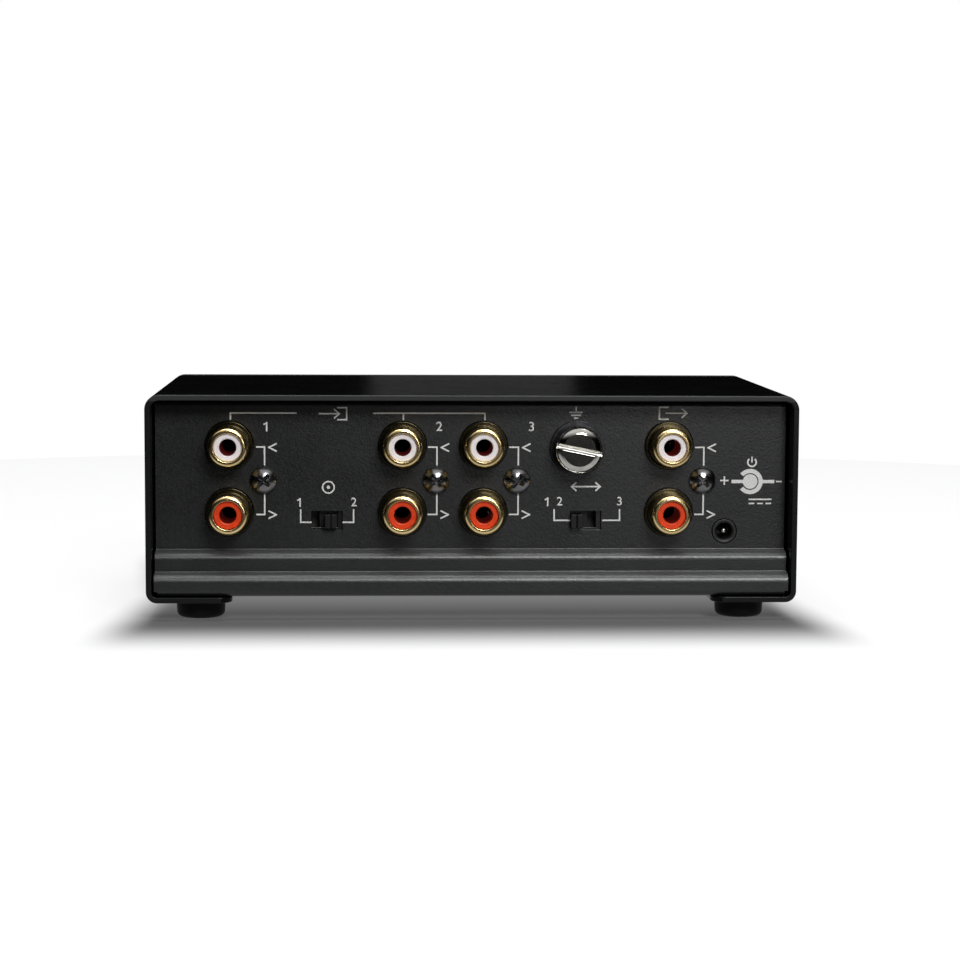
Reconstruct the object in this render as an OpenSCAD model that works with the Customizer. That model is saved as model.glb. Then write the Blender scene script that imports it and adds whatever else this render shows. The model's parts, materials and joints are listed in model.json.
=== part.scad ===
/* [Case] */
// Width over the cover
case_w = 135; // [126:1:170]
// Height of the cover, without the feet
case_h = 43.1; // [42:0.1:60]
// Depth from the fascia's face to the rear rim
case_d = 75; // [72:1:120]
// Thickness of the cover's sheet
cover_t = 1.2; // [0.8:0.1:1.6]
// Outer radius of the cover's two top corners
cover_top_r = 3; // [2:0.1:4]
// Outer radius of the cover's two bottom corners
cover_low_r = 2.3; // [1.8:0.1:3]
// Width of the flange that the cover turns under the tray
flange_w = 17.7; // [17:0.1:24]
// Radius at each end of a flange's free edge
flange_end_r = 3; // [1:0.5:5]
// Thickness of the tray's sheet
tray_t = 1; // [0.8:0.1:1.2]
// Gap between the tray and the cover's inner faces
tray_gap = 0.4; // [0.2:0.05:0.6]
// Bend radius at the middle of the tray's sheet
tray_bend_r = 0.8; // [0.7:0.1:1.2]
// Depth of the lip that stiffens the top of each tray wall
tray_lip = 6; // [4:0.5:8]

/* [Rear panel] */
// How far the upper panel lies inside the rear rim
panel_recess = 7; // [6:0.1:9]
// How far the middle step lies inside the rear rim
mid_recess = 3.8; // [3:0.1:4.5]
// How far the lowest step lies inside the rear rim
low_recess = 0.8; // [0.4:0.1:1.2]
// Height of the upper ledge above the cover's underside
upper_ledge_h = 10.3; // [9.4:0.1:10.6]
// Height of the lower ledge above the cover's underside
lower_ledge_h = 6; // [5.4:0.1:6.4]
// Fall of the upper ledge towards the rear
upper_ledge_fall = 0.1; // [0:0.1:0.4]
// Fall of the lower ledge towards the rear
lower_ledge_fall = 0.1; // [0:0.1:0.6]
// Bend radius at the outer edge of each ledge, at the middle of the sheet
ledge_edge_r = 1.35; // [1:0.05:1.5]
// Bend radius at the foot of each riser, at the middle of the sheet
ledge_root_r = 0.75; // [0.7:0.05:1]

/* [Fascia] */
// Thickness of the fascia
fascia_t = 4; // [3.5:0.1:6]
// Radius round the edge of the fascia's face
fascia_edge_r = 0.8; // [0.3:0.1:1.2]
// Gap between the fascia and the cover's front edge
fascia_gap = 0.3; // [0.2:0.05:0.5]
// Distance of each fascia screw from the middle
fascia_screw_x = 45; // [30:1:52]
// Radius of the light pipe
pipe_r = 1.5; // [1:0.1:2]
// Height of the light pipe above the circuit board
pipe_h = 6; // [4.5:0.1:9]

/* [Feet] */
// Height of a foot
foot_h = 3.8; // [3.4:0.1:6]
// Radius of a foot at its top
foot_r = 5.15; // [4.8:0.05:6.5]
// Distance from the side of the cover to the middle of a foot
foot_side_inset = 10.8; // [10:0.1:12]
// Distance from the rim or the fascia's face to the middle of a foot
foot_end_inset = 8.8; // [8.4:0.1:12]

/* [Circuit board] */
// Thickness of the circuit board
board_t = 1.6; // [1:0.1:2]
// Height of the spacers under the circuit board
spacer_h = 5; // [4.8:0.1:6]
// Gap between the board's edges and the tray or the cover
board_gap = 1.9; // [1:0.1:3]
// Gap between the board's rear edge and the rear panel
board_rear_gap = 0.3; // [0.2:0.1:1]

/* [Phono sockets] */
// Place of the moving coil sockets
coil_jack_x = 50.6; // [49:0.1:52]
// Place of the moving magnet sockets
magnet_jack_x = 14.6; // [12:0.1:18]
// Place of the line input sockets
line_jack_x = -2.3; // [-4:0.1:-1]
// Place of the line output sockets
output_jack_x = -41.3; // [-43:0.1:-40]
// Height of the lower sockets above the circuit board
jack_h = 9.4; // [8:0.1:11]
// Distance between the upper and the lower socket of a pair
jack_pitch = 14; // [13.5:0.1:15]
// Outer radius of a socket's shell
shell_r = 4.1; // [4:0.05:4.15]
// Radius of the bore in a shell
shell_bore_r = 3; // [2.8:0.05:3.2]
// Radius of the collar at a shell's root
collar_r = 5; // [4.6:0.1:5.4]
// How far the collar stands out of the rear panel
collar_proud = 0.8; // [0.5:0.1:1.5]
// How far the shells end inside the rear rim
shell_inset = 0.3; // [0:0.1:1]
// How far an insulator's face lies inside its shell
insulator_inset = 0.7; // [0.6:0.1:1.5]
// Radius of the hole for the plug's centre pin
plug_pin_r = 1.75; // [1.65:0.05:1.9]
// Width of a socket housing
housing_w = 10.4; // [10.2:0.1:11]
// Depth of a socket housing
housing_d = 13; // [12:0.1:16]
// Distance from the sockets to the screw beside them
jack_screw_dx = 7.1; // [7:0.1:7.6]
// Drop of that screw below the middle of the pair
jack_screw_drop = 0.3; // [0:0.1:0.6]
// Radius of the head of a jack screw
jack_screw_head_r = 2.8; // [2.4:0.1:2.9]

/* [Ground terminal] */
// Place of the ground terminal
ground_x = -22; // [-23:0.1:-21]
// Height of the ground terminal above the cover's underside
ground_h = 31.7; // [31:0.1:34]
// Radius of the thumb screw's knurled head
thumb_r = 4.85; // [4.2:0.05:5.2]
// Length of the thumb screw's head
thumb_l = 5.4; // [4.5:0.1:5.6]
// Number of grooves in the knurl
knurl_grooves = 40; // [20:2:48]
// Width of the slot in the head
thumb_slot_w = 1.15; // [0.8:0.05:1.5]
// Tilt of the slot at rest
thumb_slot_tilt = 11.6; // [0:0.1:90]
// Radius of the thumb screw's thread
thumb_thread_r = 1.95; // [1.5:0.05:2.2]
// Radius of the washer under the head
ground_washer_r = 5.7; // [5.2:0.1:6.2]
// Thickness of that washer
ground_washer_t = 0.8; // [0.5:0.1:1]

/* [Slide switches] */
// Place of the window of the cartridge switch
cartridge_window_x = 30.3; // [28:0.1:32]
// Place of the window of the input switch
input_window_x = -23.9; // [-24.5:0.1:-22.5]
// Height of the switch windows above the circuit board
window_h = 7.6; // [7:0.1:9]
// Width of a window in the rear panel
window_w = 6.6; // [6.4:0.1:7]
// Height of a window in the rear panel
window_z = 4.1; // [3.9:0.1:4.6]
// Sideways distance from a window's middle to its switch
switch_dx = 0.55; // [0:0.05:0.6]
// Width of the slot in a switch's frame
slot_w = 5.5; // [5.4:0.1:6]
// Height of the slot in a switch's frame
slot_z = 3.6; // [3.3:0.1:3.9]
// Width of a switch knob
knob_w = 2.5; // [2:0.1:2.6]
// Height of a switch knob
knob_z = 2.9; // [2.4:0.1:3.1]
// How far a knob stands out of the rear panel
knob_proud = 2; // [1:0.1:3.5]
// Distance that a knob travels
knob_travel = 2.8; // [2:0.1:2.8]

/* [Power inlet] */
// Place of the power inlet
inlet_x = -53.2; // [-54:0.1:-52.8]
// Height of the power inlet above the circuit board
inlet_h = 5.35; // [5:0.05:7]
// Radius of the inlet's nose
inlet_nose_r = 2.5; // [2.3:0.05:2.8]
// Radius of the inlet's bore
inlet_bore_r = 1.75; // [1.6:0.05:2]
// Depth of the inlet's bore
inlet_bore_l = 9.5; // [8:0.1:10.5]
// Radius of the inlet's centre pin
inlet_pin_r = 0.65; // [0.5:0.05:0.8]

/* [Hidden] */
$fn = 64;

// Clearances
slip = 0.05;            // round a part that is pressed or pushed into its seat
free = 0.2;             // round a part that passes through a hole without touching it
slide_gap = 0.1;        // on each side of a part that slides
cut = 1;                // by which a cutter passes beyond a face

// Levels: z = 0 is the surface that the feet stand on
case_z = foot_h;
case_top = case_z + case_h;
floor_z = case_z + cover_t + tray_t;
board_z = floor_z + spacer_h;
board_top = board_z + board_t;
low_jack_z = board_top + jack_h;
high_jack_z = low_jack_z + jack_pitch;
jack_screw_z = low_jack_z + jack_pitch / 2 - jack_screw_drop;
ground_z = case_z + ground_h;
window_mid_z = board_top + window_h;
inlet_z = board_top + inlet_h;
pipe_z = board_top + pipe_h;

// Planes: the rear is towards +Y
rear_y = case_d / 2;
front_y = -case_d / 2;
panel_y = rear_y - panel_recess;
panel_in_y = panel_y - tray_t;
fascia_back_y = front_y + fascia_t;
cover_front_y = fascia_back_y + fascia_gap;
wall_in_y = fascia_back_y + tray_t;
tray_half_w = case_w / 2 - cover_t - tray_gap;
tray_low_half_w = case_w / 2 - cover_low_r;
tray_low_top = case_z + cover_low_r;
tray_top = case_top - cover_t - tray_gap;
shell_front_y = rear_y - shell_inset;
collar_y = panel_y + collar_proud;

// Circuit board
board_half_w = tray_half_w - board_gap;
board_front_y = wall_in_y + board_gap;
board_rear_y = panel_in_y - board_rear_gap;
spacer_r = 3;
spacer_end = 1;         // solid end of a spacer, on the floor
spacer_inset = 5;
spacer_front_dy = 12;
spacer_rear_dy = 21;
spacer_at = [
    for (side = [-1, 1], y = [board_front_y + spacer_front_dy, board_rear_y - spacer_rear_dy])
        [side * (board_half_w - spacer_inset), y]
];
board_screw_r = 1.3;
board_screw_head_r = 2.6;
board_screw_rim = 0.8;
board_screw_dome = 0.9;
board_screw_spare = 1;  // depth of the hole past the screw's tip
pin_pitch = 2.54;       // of the holes in the board

// Feet and what holds them
foot_x = case_w / 2 - foot_side_inset;
foot_rear_y = rear_y - foot_end_inset;
foot_front_y = front_y + foot_end_inset;
foot_at = [for (x = [-foot_x, foot_x], y = [foot_front_y, foot_rear_y]) [x, y]];
foot_taper = 0.15;
foot_edge_r = 1.1;
foot_arc_step = 15;
foot_web = 1.6;         // rubber between the screw's head and the cover
foot_well_r = 2.8;
foot_well_h = foot_h - foot_web;
foot_screw_r = 1.45;
foot_screw_head_r = 2.5;
foot_screw_rim = 0.7;
foot_screw_dome = 0.9;
foot_screw_past_nut = 1;
nut_r = 3;
nut_h = 2.2;
foot_screw_tip_z = floor_z + nut_h + foot_screw_past_nut;

// Fascia, light pipe and lamp
fascia_edge_step = 22.5;
fascia_screw_z = case_z + case_h / 2;
fascia_screw_r = 1.2;
fascia_screw_grip = 2.6;
fascia_screw_head_r = 2.4;
fascia_screw_rim = 0.8;
fascia_screw_dome = 0.8;
pipe_flange_r = pipe_r + 0.8;
pipe_flange_t = 0.8;
pipe_inset = 0.3;
lamp_r = 1.5;
lamp_flange_r = 1.9;
lamp_flange_t = 1;
lamp_l = 5;
lamp_gap = 0.3;
lamp_y = wall_in_y + pipe_flange_t + lamp_gap;
lamp_lead_run = 2;
lamp_holder_w = 5;
lamp_holder_rise = 1;
lead_r = 0.25;

// Phono sockets
jack_x = [coil_jack_x, magnet_jack_x, line_jack_x, output_jack_x];
shell_tail = 3;
shell_mouth_r = shell_r - 0.25;
shell_mouth_l = 0.45;
shell_edge = 0.15;
collar_edge = 0.2;
insulator_r = shell_bore_r - slip;
insulator_edge = 0.2;
insulator_back_y = panel_in_y - shell_tail;
insulator_y = shell_front_y - insulator_inset;
contact_wall = 0.5;
contact_r = plug_pin_r + contact_wall;
contact_l = 6;
contact_blade_t = 0.4;
contact_blade_dx = plug_pin_r + contact_wall / 2;
contact_blade_lap = 1;
housing_cap = 5.3;
housing_back_y = panel_in_y - housing_d;
ear_r = 3.2;
ear_d = 9;
jack_screw_r = 1.4;
jack_screw_bite = 6;    // length of the screw in the housing
jack_screw_spare = 2;   // depth of the hole past the screw's tip
jack_screw_rim = 0.7;
jack_screw_dome = 1.2;

// Cross recess in the head of a screw
cross_l = 1.2;          // as a share of the head's radius, tip to tip
cross_w = 0.32;         // as a share of the head's radius
cross_d = 0.62;         // as a share of the head's height

// Ground terminal
thumb_gap = 0.05;
washer_y = panel_y + thumb_gap;
thumb_y = washer_y + ground_washer_t + thumb_gap;
thumb_boss_r = thumb_r - 0.4;
thumb_face_r = thumb_r - 1.45;
thumb_groove_r = thumb_r - 0.2;
thumb_groove_d = 0.5;
thumb_edge = 0.1;
thumb_bevel_h = 0.6;
thumb_slot_d = 1.4;
knurl_depth = 0.22;
knurl_end = 0.44;       // from the end of the grooves to the edge of the head
knurl_phase = 0.25;     // turn of the first groove, as a share of their pitch
strap_t = 0.5;
strap_r = 4.2;
strap_w = 3;
strap_arm_dx = 5.6;
strap_foot = 4;
ground_nut_af = 7;
ground_nut_t = 3.2;
thumb_past_nut = 1;
nut_back_y = panel_in_y - strap_t - ground_nut_t;
thumb_tip_y = nut_back_y - thumb_past_nut;

// Slide switches
switch_wall = 0.4;
switch_side = 1.6;
switch_cap = 1.1;
switch_d = 4.6;
switch_base_t = 1.2;
slider_t = 0.9;
switch_half_w = slot_w / 2 + switch_side;
switch_half_z = slot_z / 2 + switch_cap;
switch_mid_z = window_mid_z + (window_z - slot_z) / 2;
slider_half_w = switch_half_w - switch_wall - knob_travel / 2 - slide_gap;
slider_half_z = switch_half_z - switch_wall - slide_gap;
knob_mid_z = switch_mid_z - slot_z / 2 + slide_gap + knob_z / 2;
knob_front_y = panel_y + knob_proud;
knob_edge = 0.25;
knob_groove = 0.25;
switch_leg_y = 2;
switch_pin_pitch = 2;
switch_pin = 0.5;
switch_pin_run = 1;
cartridge_switch_x = cartridge_window_x + switch_dx;
input_switch_x = input_window_x + switch_dx;
cartridge_knob_x = cartridge_switch_x - knob_travel / 2;
input_knob_x = input_switch_x + knob_travel / 2;

// Power inlet
inlet_half_w = 4.8;
inlet_cap = 4.6;
inlet_d = 12;
inlet_front_y = panel_in_y - free;
inlet_back_y = inlet_front_y - inlet_d;
inlet_proud = 0.1;
inlet_nose_y = panel_y + inlet_proud;
inlet_mouth = 0.35;
inlet_pin_inset = 0.6;
inlet_pin_tail = 1.5;

// Parts on the circuit board
cap_r = 3.15;
cap_h = 11;
cap_base = 0.4;
cap_neck = 0.4;
cap_vent = 0.3;
cap_row_dy = 8;
cap_row_x = [-52, -43, -34, 34, 43, 52];
film_w = 7.2;
film_d = 3;
film_h = 6.5;
film_row_dy = 33;
film_row_x = [-33, -22, -11, 0, 11, 22, 33, 44];
amp_w = 9.6;
amp_d = 6.4;
amp_h = 3.3;
amp_lift = 0.6;
amp_row_dy = 22;
amp_row_x = [-30, 0, 30];
amp_pin = 0.5;
amp_notch_r = 0.9;
amp_notch_d = 0.4;
resistor_l = 6.2;
resistor_r = 1.1;
resistor_lift = 0.3;
resistor_span = 10;
resistor_rows_dy = [28, 39];
resistor_row_x = [-38, -25, -12, 12, 25, 38];
regulator_x = -49;
regulator_dy = 31;
regulator_w = 10;
regulator_t = 4.5;
regulator_h = 9;
regulator_lift = 3;
regulator_pin_w = 0.7;
regulator_pin_t = 0.5;
regulator_pin_dy = 1;
tab_t = 1.3;
tab_h = 6;
tab_hole_r = 1.9;

// Steps in each bend of a sheet
bend_steps = 8;

// ---------- shapes that are used more than once ----------

// A box between two corners
module box(a, b) {
    translate(a)
        cube(b - a);
}

// Stands its child at [x, y, z] with the child's +Z pointing to the rear
module rearward(x, y, z) {
    translate([x, y, z])
        rotate([-90, 0, 0])
            children();
}

// A round bar along Y from y0 to y1
module bar(r, x, y0, y1, z) {
    rearward(x, y0, z)
        cylinder(r = r, h = y1 - y0);
}

// Outline of the case, its underside on the line y = 0, drawn in by an amount
module case_outline(inset) {
    top_r = cover_top_r - inset;
    low_r = cover_low_r - inset;
    half_w = case_w / 2 - inset;
    low = inset;
    high = case_h - inset;
    translate([-half_w, low + low_r])
        square([2 * half_w, high - low - top_r - low_r]);
    translate([top_r - half_w, low + low_r])
        square([2 * (half_w - top_r), high - low - low_r]);
    translate([low_r - half_w, low])
        square([2 * (half_w - low_r), high - low - top_r]);
    for (side = [-1, 1]) {
        translate([side * (half_w - top_r), high - top_r])
            circle(r = top_r);
        translate([side * (half_w - low_r), low + low_r])
            circle(r = low_r);
    }
}

// Extrudes an outline drawn in X and Z from y0 to y1
module through_y(y0, y1, z) {
    translate([0, y1, z])
        rotate([90, 0, 0])
            linear_extrude(height = y1 - y0)
                children();
}

function turned_left(v) = [-v[1], v[0]];
function turned(v, a) = [v[0] * cos(a) - v[1] * sin(a), v[0] * sin(a) + v[1] * cos(a)];
function direction(a, b) = (b - a) / norm(b - a);

// Points of one rounded corner of a sheet's path, at a distance to its left
function corner_points(p, a, b, r, off, steps) =
    let (
        turn = sign(a[0] * b[1] - a[1] * b[0]),
        angle = acos(a * b),
        start = p - a * r * tan(angle / 2),
        middle = start + turned_left(a) * turn * r
    )
    [for (k = [0:steps])
        middle - turn * (r - turn * off) * turned(turned_left(a), turn * angle * k / steps)];

// One side of a bent sheet, at a distance to the left of its middle line
function sheet_side(path, radii, off, steps) = [
    path[0] + turned_left(direction(path[0], path[1])) * off,
    for (i = [1:len(path) - 2])
        each corner_points(path[i], direction(path[i - 1], path[i]),
                           direction(path[i], path[i + 1]), radii[i - 1], off, steps),
    let (last = len(path) - 1)
        path[last] + turned_left(direction(path[last - 1], path[last])) * off
];

function reversed(list) = [for (i = [len(list) - 1:-1:0]) list[i]];

module bent_sheet(path, radii, t) {
    left = sheet_side(path, radii, t / 2, bend_steps);
    right = sheet_side(path, radii, -t / 2, bend_steps);
    polygon(concat(left, reversed(right)));
}

// A pan head with a cross recess, its seat at z = 0, and its shank below
module pan_screw(head_r, rim, dome, shank_r, shank_l) {
    ball_r = (head_r * head_r + dome * dome) / (2 * dome);
    head_h = rim + dome;
    difference() {
        union() {
            cylinder(r = head_r, h = rim);
            intersection() {
                translate([0, 0, head_h - ball_r])
                    sphere(r = ball_r);
                translate([0, 0, rim])
                    cylinder(r = head_r, h = dome);
            }
        }
        for (a = [45, 135])
            rotate([0, 0, a])
                translate([-cross_l * head_r / 2, -cross_w * head_r / 2, head_h * (1 - cross_d)])
                    cube([cross_l * head_r, cross_w * head_r, head_h]);
    }
    translate([0, 0, -shank_l])
        cylinder(r = shank_r, h = shank_l);
}

// ---------- case ----------

module cover() {
    tip = case_w / 2 - flange_w;
    color("#1b1b1d")
        difference() {
            through_y(cover_front_y, rear_y, case_z)
                difference() {
                    case_outline(0);
                    case_outline(cover_t);
                    translate([-tip, -cut])
                        square([2 * tip, cover_t + 2 * cut]);
                }
            for (at = foot_at)
                translate([at[0], at[1], case_z - cut])
                    cylinder(r = foot_screw_r + free, h = cover_t + 2 * cut);
            for (side = [-1, 1], end = [0, 1])
                flange_corner(side * (tip + flange_end_r), end, side);
        }
}

// Cuts one corner of a flange's free edge round
module flange_corner(x, end, side) {
    y = end == 1 ? rear_y - flange_end_r : cover_front_y + flange_end_r;
    way = end == 1 ? 1 : -1;
    reach = flange_end_r + cut;
    translate([x, y, case_z - cut])
        difference() {
            translate([side > 0 ? -reach : 0, way > 0 ? 0 : -reach, 0])
                cube([reach, reach, cover_t + 2 * cut]);
            translate([0, 0, -cut])
                cylinder(r = flange_end_r, h = cover_t + 4 * cut);
        }
}

module tray_section() {
    half_t = tray_t / 2;
    floor_mid = case_z + cover_t + half_t;
    top_mid = tray_top - half_t;
    upper_z = case_z + upper_ledge_h - half_t;
    lower_z = case_z + lower_ledge_h - half_t;
    path = [
        [wall_in_y + tray_lip, top_mid],
        [wall_in_y - half_t, top_mid],
        [wall_in_y - half_t, floor_mid],
        [rear_y - low_recess - half_t, floor_mid],
        [rear_y - low_recess - half_t, lower_z - lower_ledge_fall],
        [rear_y - mid_recess - half_t, lower_z],
        [rear_y - mid_recess - half_t, upper_z - upper_ledge_fall],
        [panel_y - half_t, upper_z],
        [panel_y - half_t, top_mid],
        [panel_in_y - tray_lip, top_mid]
    ];
    radii = [tray_bend_r, tray_bend_r, tray_bend_r, ledge_edge_r, ledge_root_r, ledge_edge_r,
             ledge_root_r, tray_bend_r];
    bent_sheet(path, radii, tray_t);
}

module tray() {
    color("#222224")
        difference() {
            translate([-tray_half_w, 0, 0])
                rotate([90, 0, 90])
                    linear_extrude(height = 2 * tray_half_w)
                        tray_section();
            for (x = jack_x) {
                for (z = [low_jack_z, high_jack_z])
                    bar(collar_r + free, x, panel_in_y - cut, panel_y + cut, z);
                bar(jack_screw_r + free, x - jack_screw_dx, panel_in_y - cut, panel_y + cut, jack_screw_z);
            }
            bar(thumb_thread_r + free, ground_x, panel_in_y - cut, panel_y + cut, ground_z);
            bar(inlet_nose_r + free, inlet_x, panel_in_y - cut, panel_y + cut, inlet_z);
            for (x = [cartridge_window_x, input_window_x])
                box([x - window_w / 2, panel_in_y - cut, window_mid_z - window_z / 2],
                    [x + window_w / 2, panel_y + cut, window_mid_z + window_z / 2]);
            for (side = [-1, 1])
                bar(fascia_screw_r + free, side * fascia_screw_x, fascia_back_y - cut, wall_in_y + cut,
                    fascia_screw_z);
            bar(pipe_r + free, 0, fascia_back_y - cut, wall_in_y + cut, pipe_z);
            for (side = [-1, 1])
                tray_notch(side);
            for (at = foot_at)
                translate([at[0], at[1], floor_z - tray_t - cut])
                    cylinder(r = foot_screw_r + free, h = tray_t + 2 * cut);
        }
}

// Clears the bend at the foot of the cover's side
module tray_notch(side) {
    reach = tray_half_w - tray_low_half_w + cut;
    translate([side > 0 ? tray_low_half_w : -tray_low_half_w - reach, front_y, case_z])
        cube([reach, case_d, tray_low_top - case_z]);
}

module fascia() {
    color("#2a2b2e")
        difference() {
            hull()
                for (a = [0:fascia_edge_step:90])
                    through_y(front_y + fascia_edge_r * (1 - sin(a)), fascia_back_y, case_z)
                        case_outline(fascia_edge_r * (1 - cos(a)), $fn = 32);
            for (side = [-1, 1])
                bar(fascia_screw_r + slip, side * fascia_screw_x, fascia_back_y - fascia_screw_grip - slip,
                    fascia_back_y + cut, fascia_screw_z);
            bar(pipe_r + slip, 0, front_y - cut, fascia_back_y + cut, pipe_z);
        }
}

module fascia_screws() {
    color("#8a8a8c")
        for (side = [-1, 1])
            rearward(side * fascia_screw_x, wall_in_y, fascia_screw_z)
                pan_screw(fascia_screw_head_r, fascia_screw_rim, fascia_screw_dome, fascia_screw_r,
                          tray_t + fascia_screw_grip);
}

module light_pipe() {
    color("#d8e6ef")
        union() {
            bar(pipe_r, 0, front_y + pipe_inset, wall_in_y + pipe_flange_t, pipe_z);
            bar(pipe_flange_r, 0, wall_in_y, wall_in_y + pipe_flange_t, pipe_z);
        }
}

module lamp() {
    shoulder_y = lamp_y + lamp_l - lamp_flange_t;
    color("#bcd4e6")
        union() {
            translate([0, lamp_y + lamp_r, pipe_z])
                sphere(r = lamp_r);
            bar(lamp_r, 0, lamp_y + lamp_r, shoulder_y, pipe_z);
            bar(lamp_flange_r, 0, shoulder_y, shoulder_y + lamp_flange_t, pipe_z);
        }
    color("#c8c8c8")
        for (side = [-1, 1])
            lead(side * pin_pitch / 2, shoulder_y + lamp_flange_t, pipe_z, lamp_lead_run);
}

// A wire that runs to the rear and then down to the board
module lead(x, y, z, run) {
    union() {
        bar(lead_r, x, y, y + run, z);
        translate([x, y + run, board_top])
            cylinder(r = lead_r, h = z - board_top);
        translate([x, y + run, z])
            sphere(r = lead_r);
    }
}

module lamp_holder() {
    y0 = max(lamp_y + lamp_r, board_front_y);
    y1 = lamp_y + lamp_l - lamp_flange_t;
    color("#202020")
        difference() {
            box([-lamp_holder_w / 2, y0, board_top],
                [lamp_holder_w / 2, y1 - slip, pipe_z + lamp_holder_rise]);
            bar(lamp_r + slip, 0, y0 - cut, y1 + cut, pipe_z);
        }
}

// ---------- circuit board ----------

module circuit_board() {
    color("#1f5a34")
        difference() {
            box([-board_half_w, board_front_y, board_z], [board_half_w, board_rear_y, board_top]);
            for (at = spacer_at)
                translate([at[0], at[1], board_z - cut])
                    cylinder(r = board_screw_r + free, h = board_t + 2 * cut);
        }
}

module board_spacers() {
    color("#c9c9cc")
        for (at = spacer_at)
            translate([at[0], at[1], floor_z])
                difference() {
                    cylinder(r = spacer_r, h = spacer_h);
                    translate([0, 0, spacer_end])
                        cylinder(r = board_screw_r + slip, h = spacer_h);
                }
}

module board_screws() {
    color("#a8a8aa")
        for (at = spacer_at)
            translate([at[0], at[1], board_top])
                pan_screw(board_screw_head_r, board_screw_rim, board_screw_dome, board_screw_r,
                          board_t + spacer_h - spacer_end - board_screw_spare);
}

// ---------- phono sockets ----------

module jack_housing(x) {
    color("#18181a")
        difference() {
            union() {
                box([x - housing_w / 2, housing_back_y, board_top],
                    [x + housing_w / 2, panel_in_y, high_jack_z + housing_cap]);
                box([x - jack_screw_dx, panel_in_y - ear_d, jack_screw_z - ear_r],
                    [x, panel_in_y, jack_screw_z + ear_r]);
                bar(ear_r, x - jack_screw_dx, panel_in_y - ear_d, panel_in_y, jack_screw_z);
            }
            for (z = [low_jack_z, high_jack_z]) {
                bar(shell_r + slip, x, panel_in_y - shell_tail, panel_in_y + cut, z);
                bar(contact_r + slip, x, housing_back_y - cut, panel_in_y, z);
            }
            bar(jack_screw_r + slip, x - jack_screw_dx, panel_in_y - jack_screw_bite - jack_screw_spare,
                panel_in_y + cut, jack_screw_z);
        }
}

// Gilt shell: tail in the housing, collar in the panel, then the barrel
module jack_shell(x, z) {
    back = -shell_tail;
    front = shell_front_y - panel_in_y;
    collar = collar_y - panel_in_y;
    color("#c9a24a")
        rearward(x, panel_in_y, z)
            rotate_extrude()
                polygon([
                    [shell_bore_r, back],
                    [shell_r, back],
                    [shell_r, 0],
                    [collar_r, 0],
                    [collar_r, collar - collar_edge],
                    [collar_r - collar_edge, collar],
                    [shell_r, collar],
                    [shell_r, front - shell_edge],
                    [shell_r - shell_edge, front],
                    [shell_mouth_r, front],
                    [shell_bore_r, front - shell_mouth_l]
                ]);
}

module jack_insulator(x, z, paint) {
    length = insulator_y - insulator_back_y;
    color(paint)
        rearward(x, insulator_back_y, z)
            rotate_extrude()
                polygon([
                    [plug_pin_r, 0],
                    [insulator_r, 0],
                    [insulator_r, length - insulator_edge],
                    [insulator_r - insulator_edge, length],
                    [plug_pin_r, length]
                ]);
}

// Centre contacts of a pair, each a tube with a blade down to the board
module jack_contacts(x) {
    back_y = insulator_back_y - contact_l;
    blade_y = housing_back_y - free - contact_blade_t;
    color("#b98f43")
        for (upper = [0, 1]) {
            z = upper == 1 ? high_jack_z : low_jack_z;
            side = upper == 1 ? -1 : 1;
            difference() {
                union() {
                    bar(contact_r, x, back_y, insulator_back_y - slip, z);
                    box([x + side * contact_blade_dx - contact_wall / 2, blade_y, z - contact_blade_t],
                        [x + side * contact_blade_dx + contact_wall / 2, back_y + contact_blade_lap,
                         z + contact_blade_t]);
                    box([x + side * contact_blade_dx - contact_wall / 2, blade_y, board_top],
                        [x + side * contact_blade_dx + contact_wall / 2, blade_y + contact_blade_t,
                         z + contact_blade_t]);
                }
                bar(plug_pin_r, x, back_y - cut, insulator_back_y + cut, z);
            }
        }
}

module jack_screws() {
    color("#6f7073")
        for (x = jack_x)
            rearward(x - jack_screw_dx, panel_y, jack_screw_z)
                pan_screw(jack_screw_head_r, jack_screw_rim, jack_screw_dome, jack_screw_r,
                          tray_t + jack_screw_bite);
}

module coil_jack_housing() { jack_housing(coil_jack_x); }
module magnet_jack_housing() { jack_housing(magnet_jack_x); }
module line_jack_housing() { jack_housing(line_jack_x); }
module output_jack_housing() { jack_housing(output_jack_x); }
module coil_left_shell() { jack_shell(coil_jack_x, high_jack_z); }
module magnet_left_shell() { jack_shell(magnet_jack_x, high_jack_z); }
module line_left_shell() { jack_shell(line_jack_x, high_jack_z); }
module output_left_shell() { jack_shell(output_jack_x, high_jack_z); }
module coil_right_shell() { jack_shell(coil_jack_x, low_jack_z); }
module magnet_right_shell() { jack_shell(magnet_jack_x, low_jack_z); }
module line_right_shell() { jack_shell(line_jack_x, low_jack_z); }
module output_right_shell() { jack_shell(output_jack_x, low_jack_z); }
module coil_left_insulator() { jack_insulator(coil_jack_x, high_jack_z, "#ece6e6"); }
module magnet_left_insulator() { jack_insulator(magnet_jack_x, high_jack_z, "#ece6e6"); }
module line_left_insulator() { jack_insulator(line_jack_x, high_jack_z, "#ece6e6"); }
module output_left_insulator() { jack_insulator(output_jack_x, high_jack_z, "#ece6e6"); }
module coil_right_insulator() { jack_insulator(coil_jack_x, low_jack_z, "#d23a18"); }
module magnet_right_insulator() { jack_insulator(magnet_jack_x, low_jack_z, "#d23a18"); }
module line_right_insulator() { jack_insulator(line_jack_x, low_jack_z, "#d23a18"); }
module output_right_insulator() { jack_insulator(output_jack_x, low_jack_z, "#d23a18"); }
module coil_jack_contacts() { jack_contacts(coil_jack_x); }
module magnet_jack_contacts() { jack_contacts(magnet_jack_x); }
module line_jack_contacts() { jack_contacts(line_jack_x); }
module output_jack_contacts() { jack_contacts(output_jack_x); }

// ---------- ground terminal ----------

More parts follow.
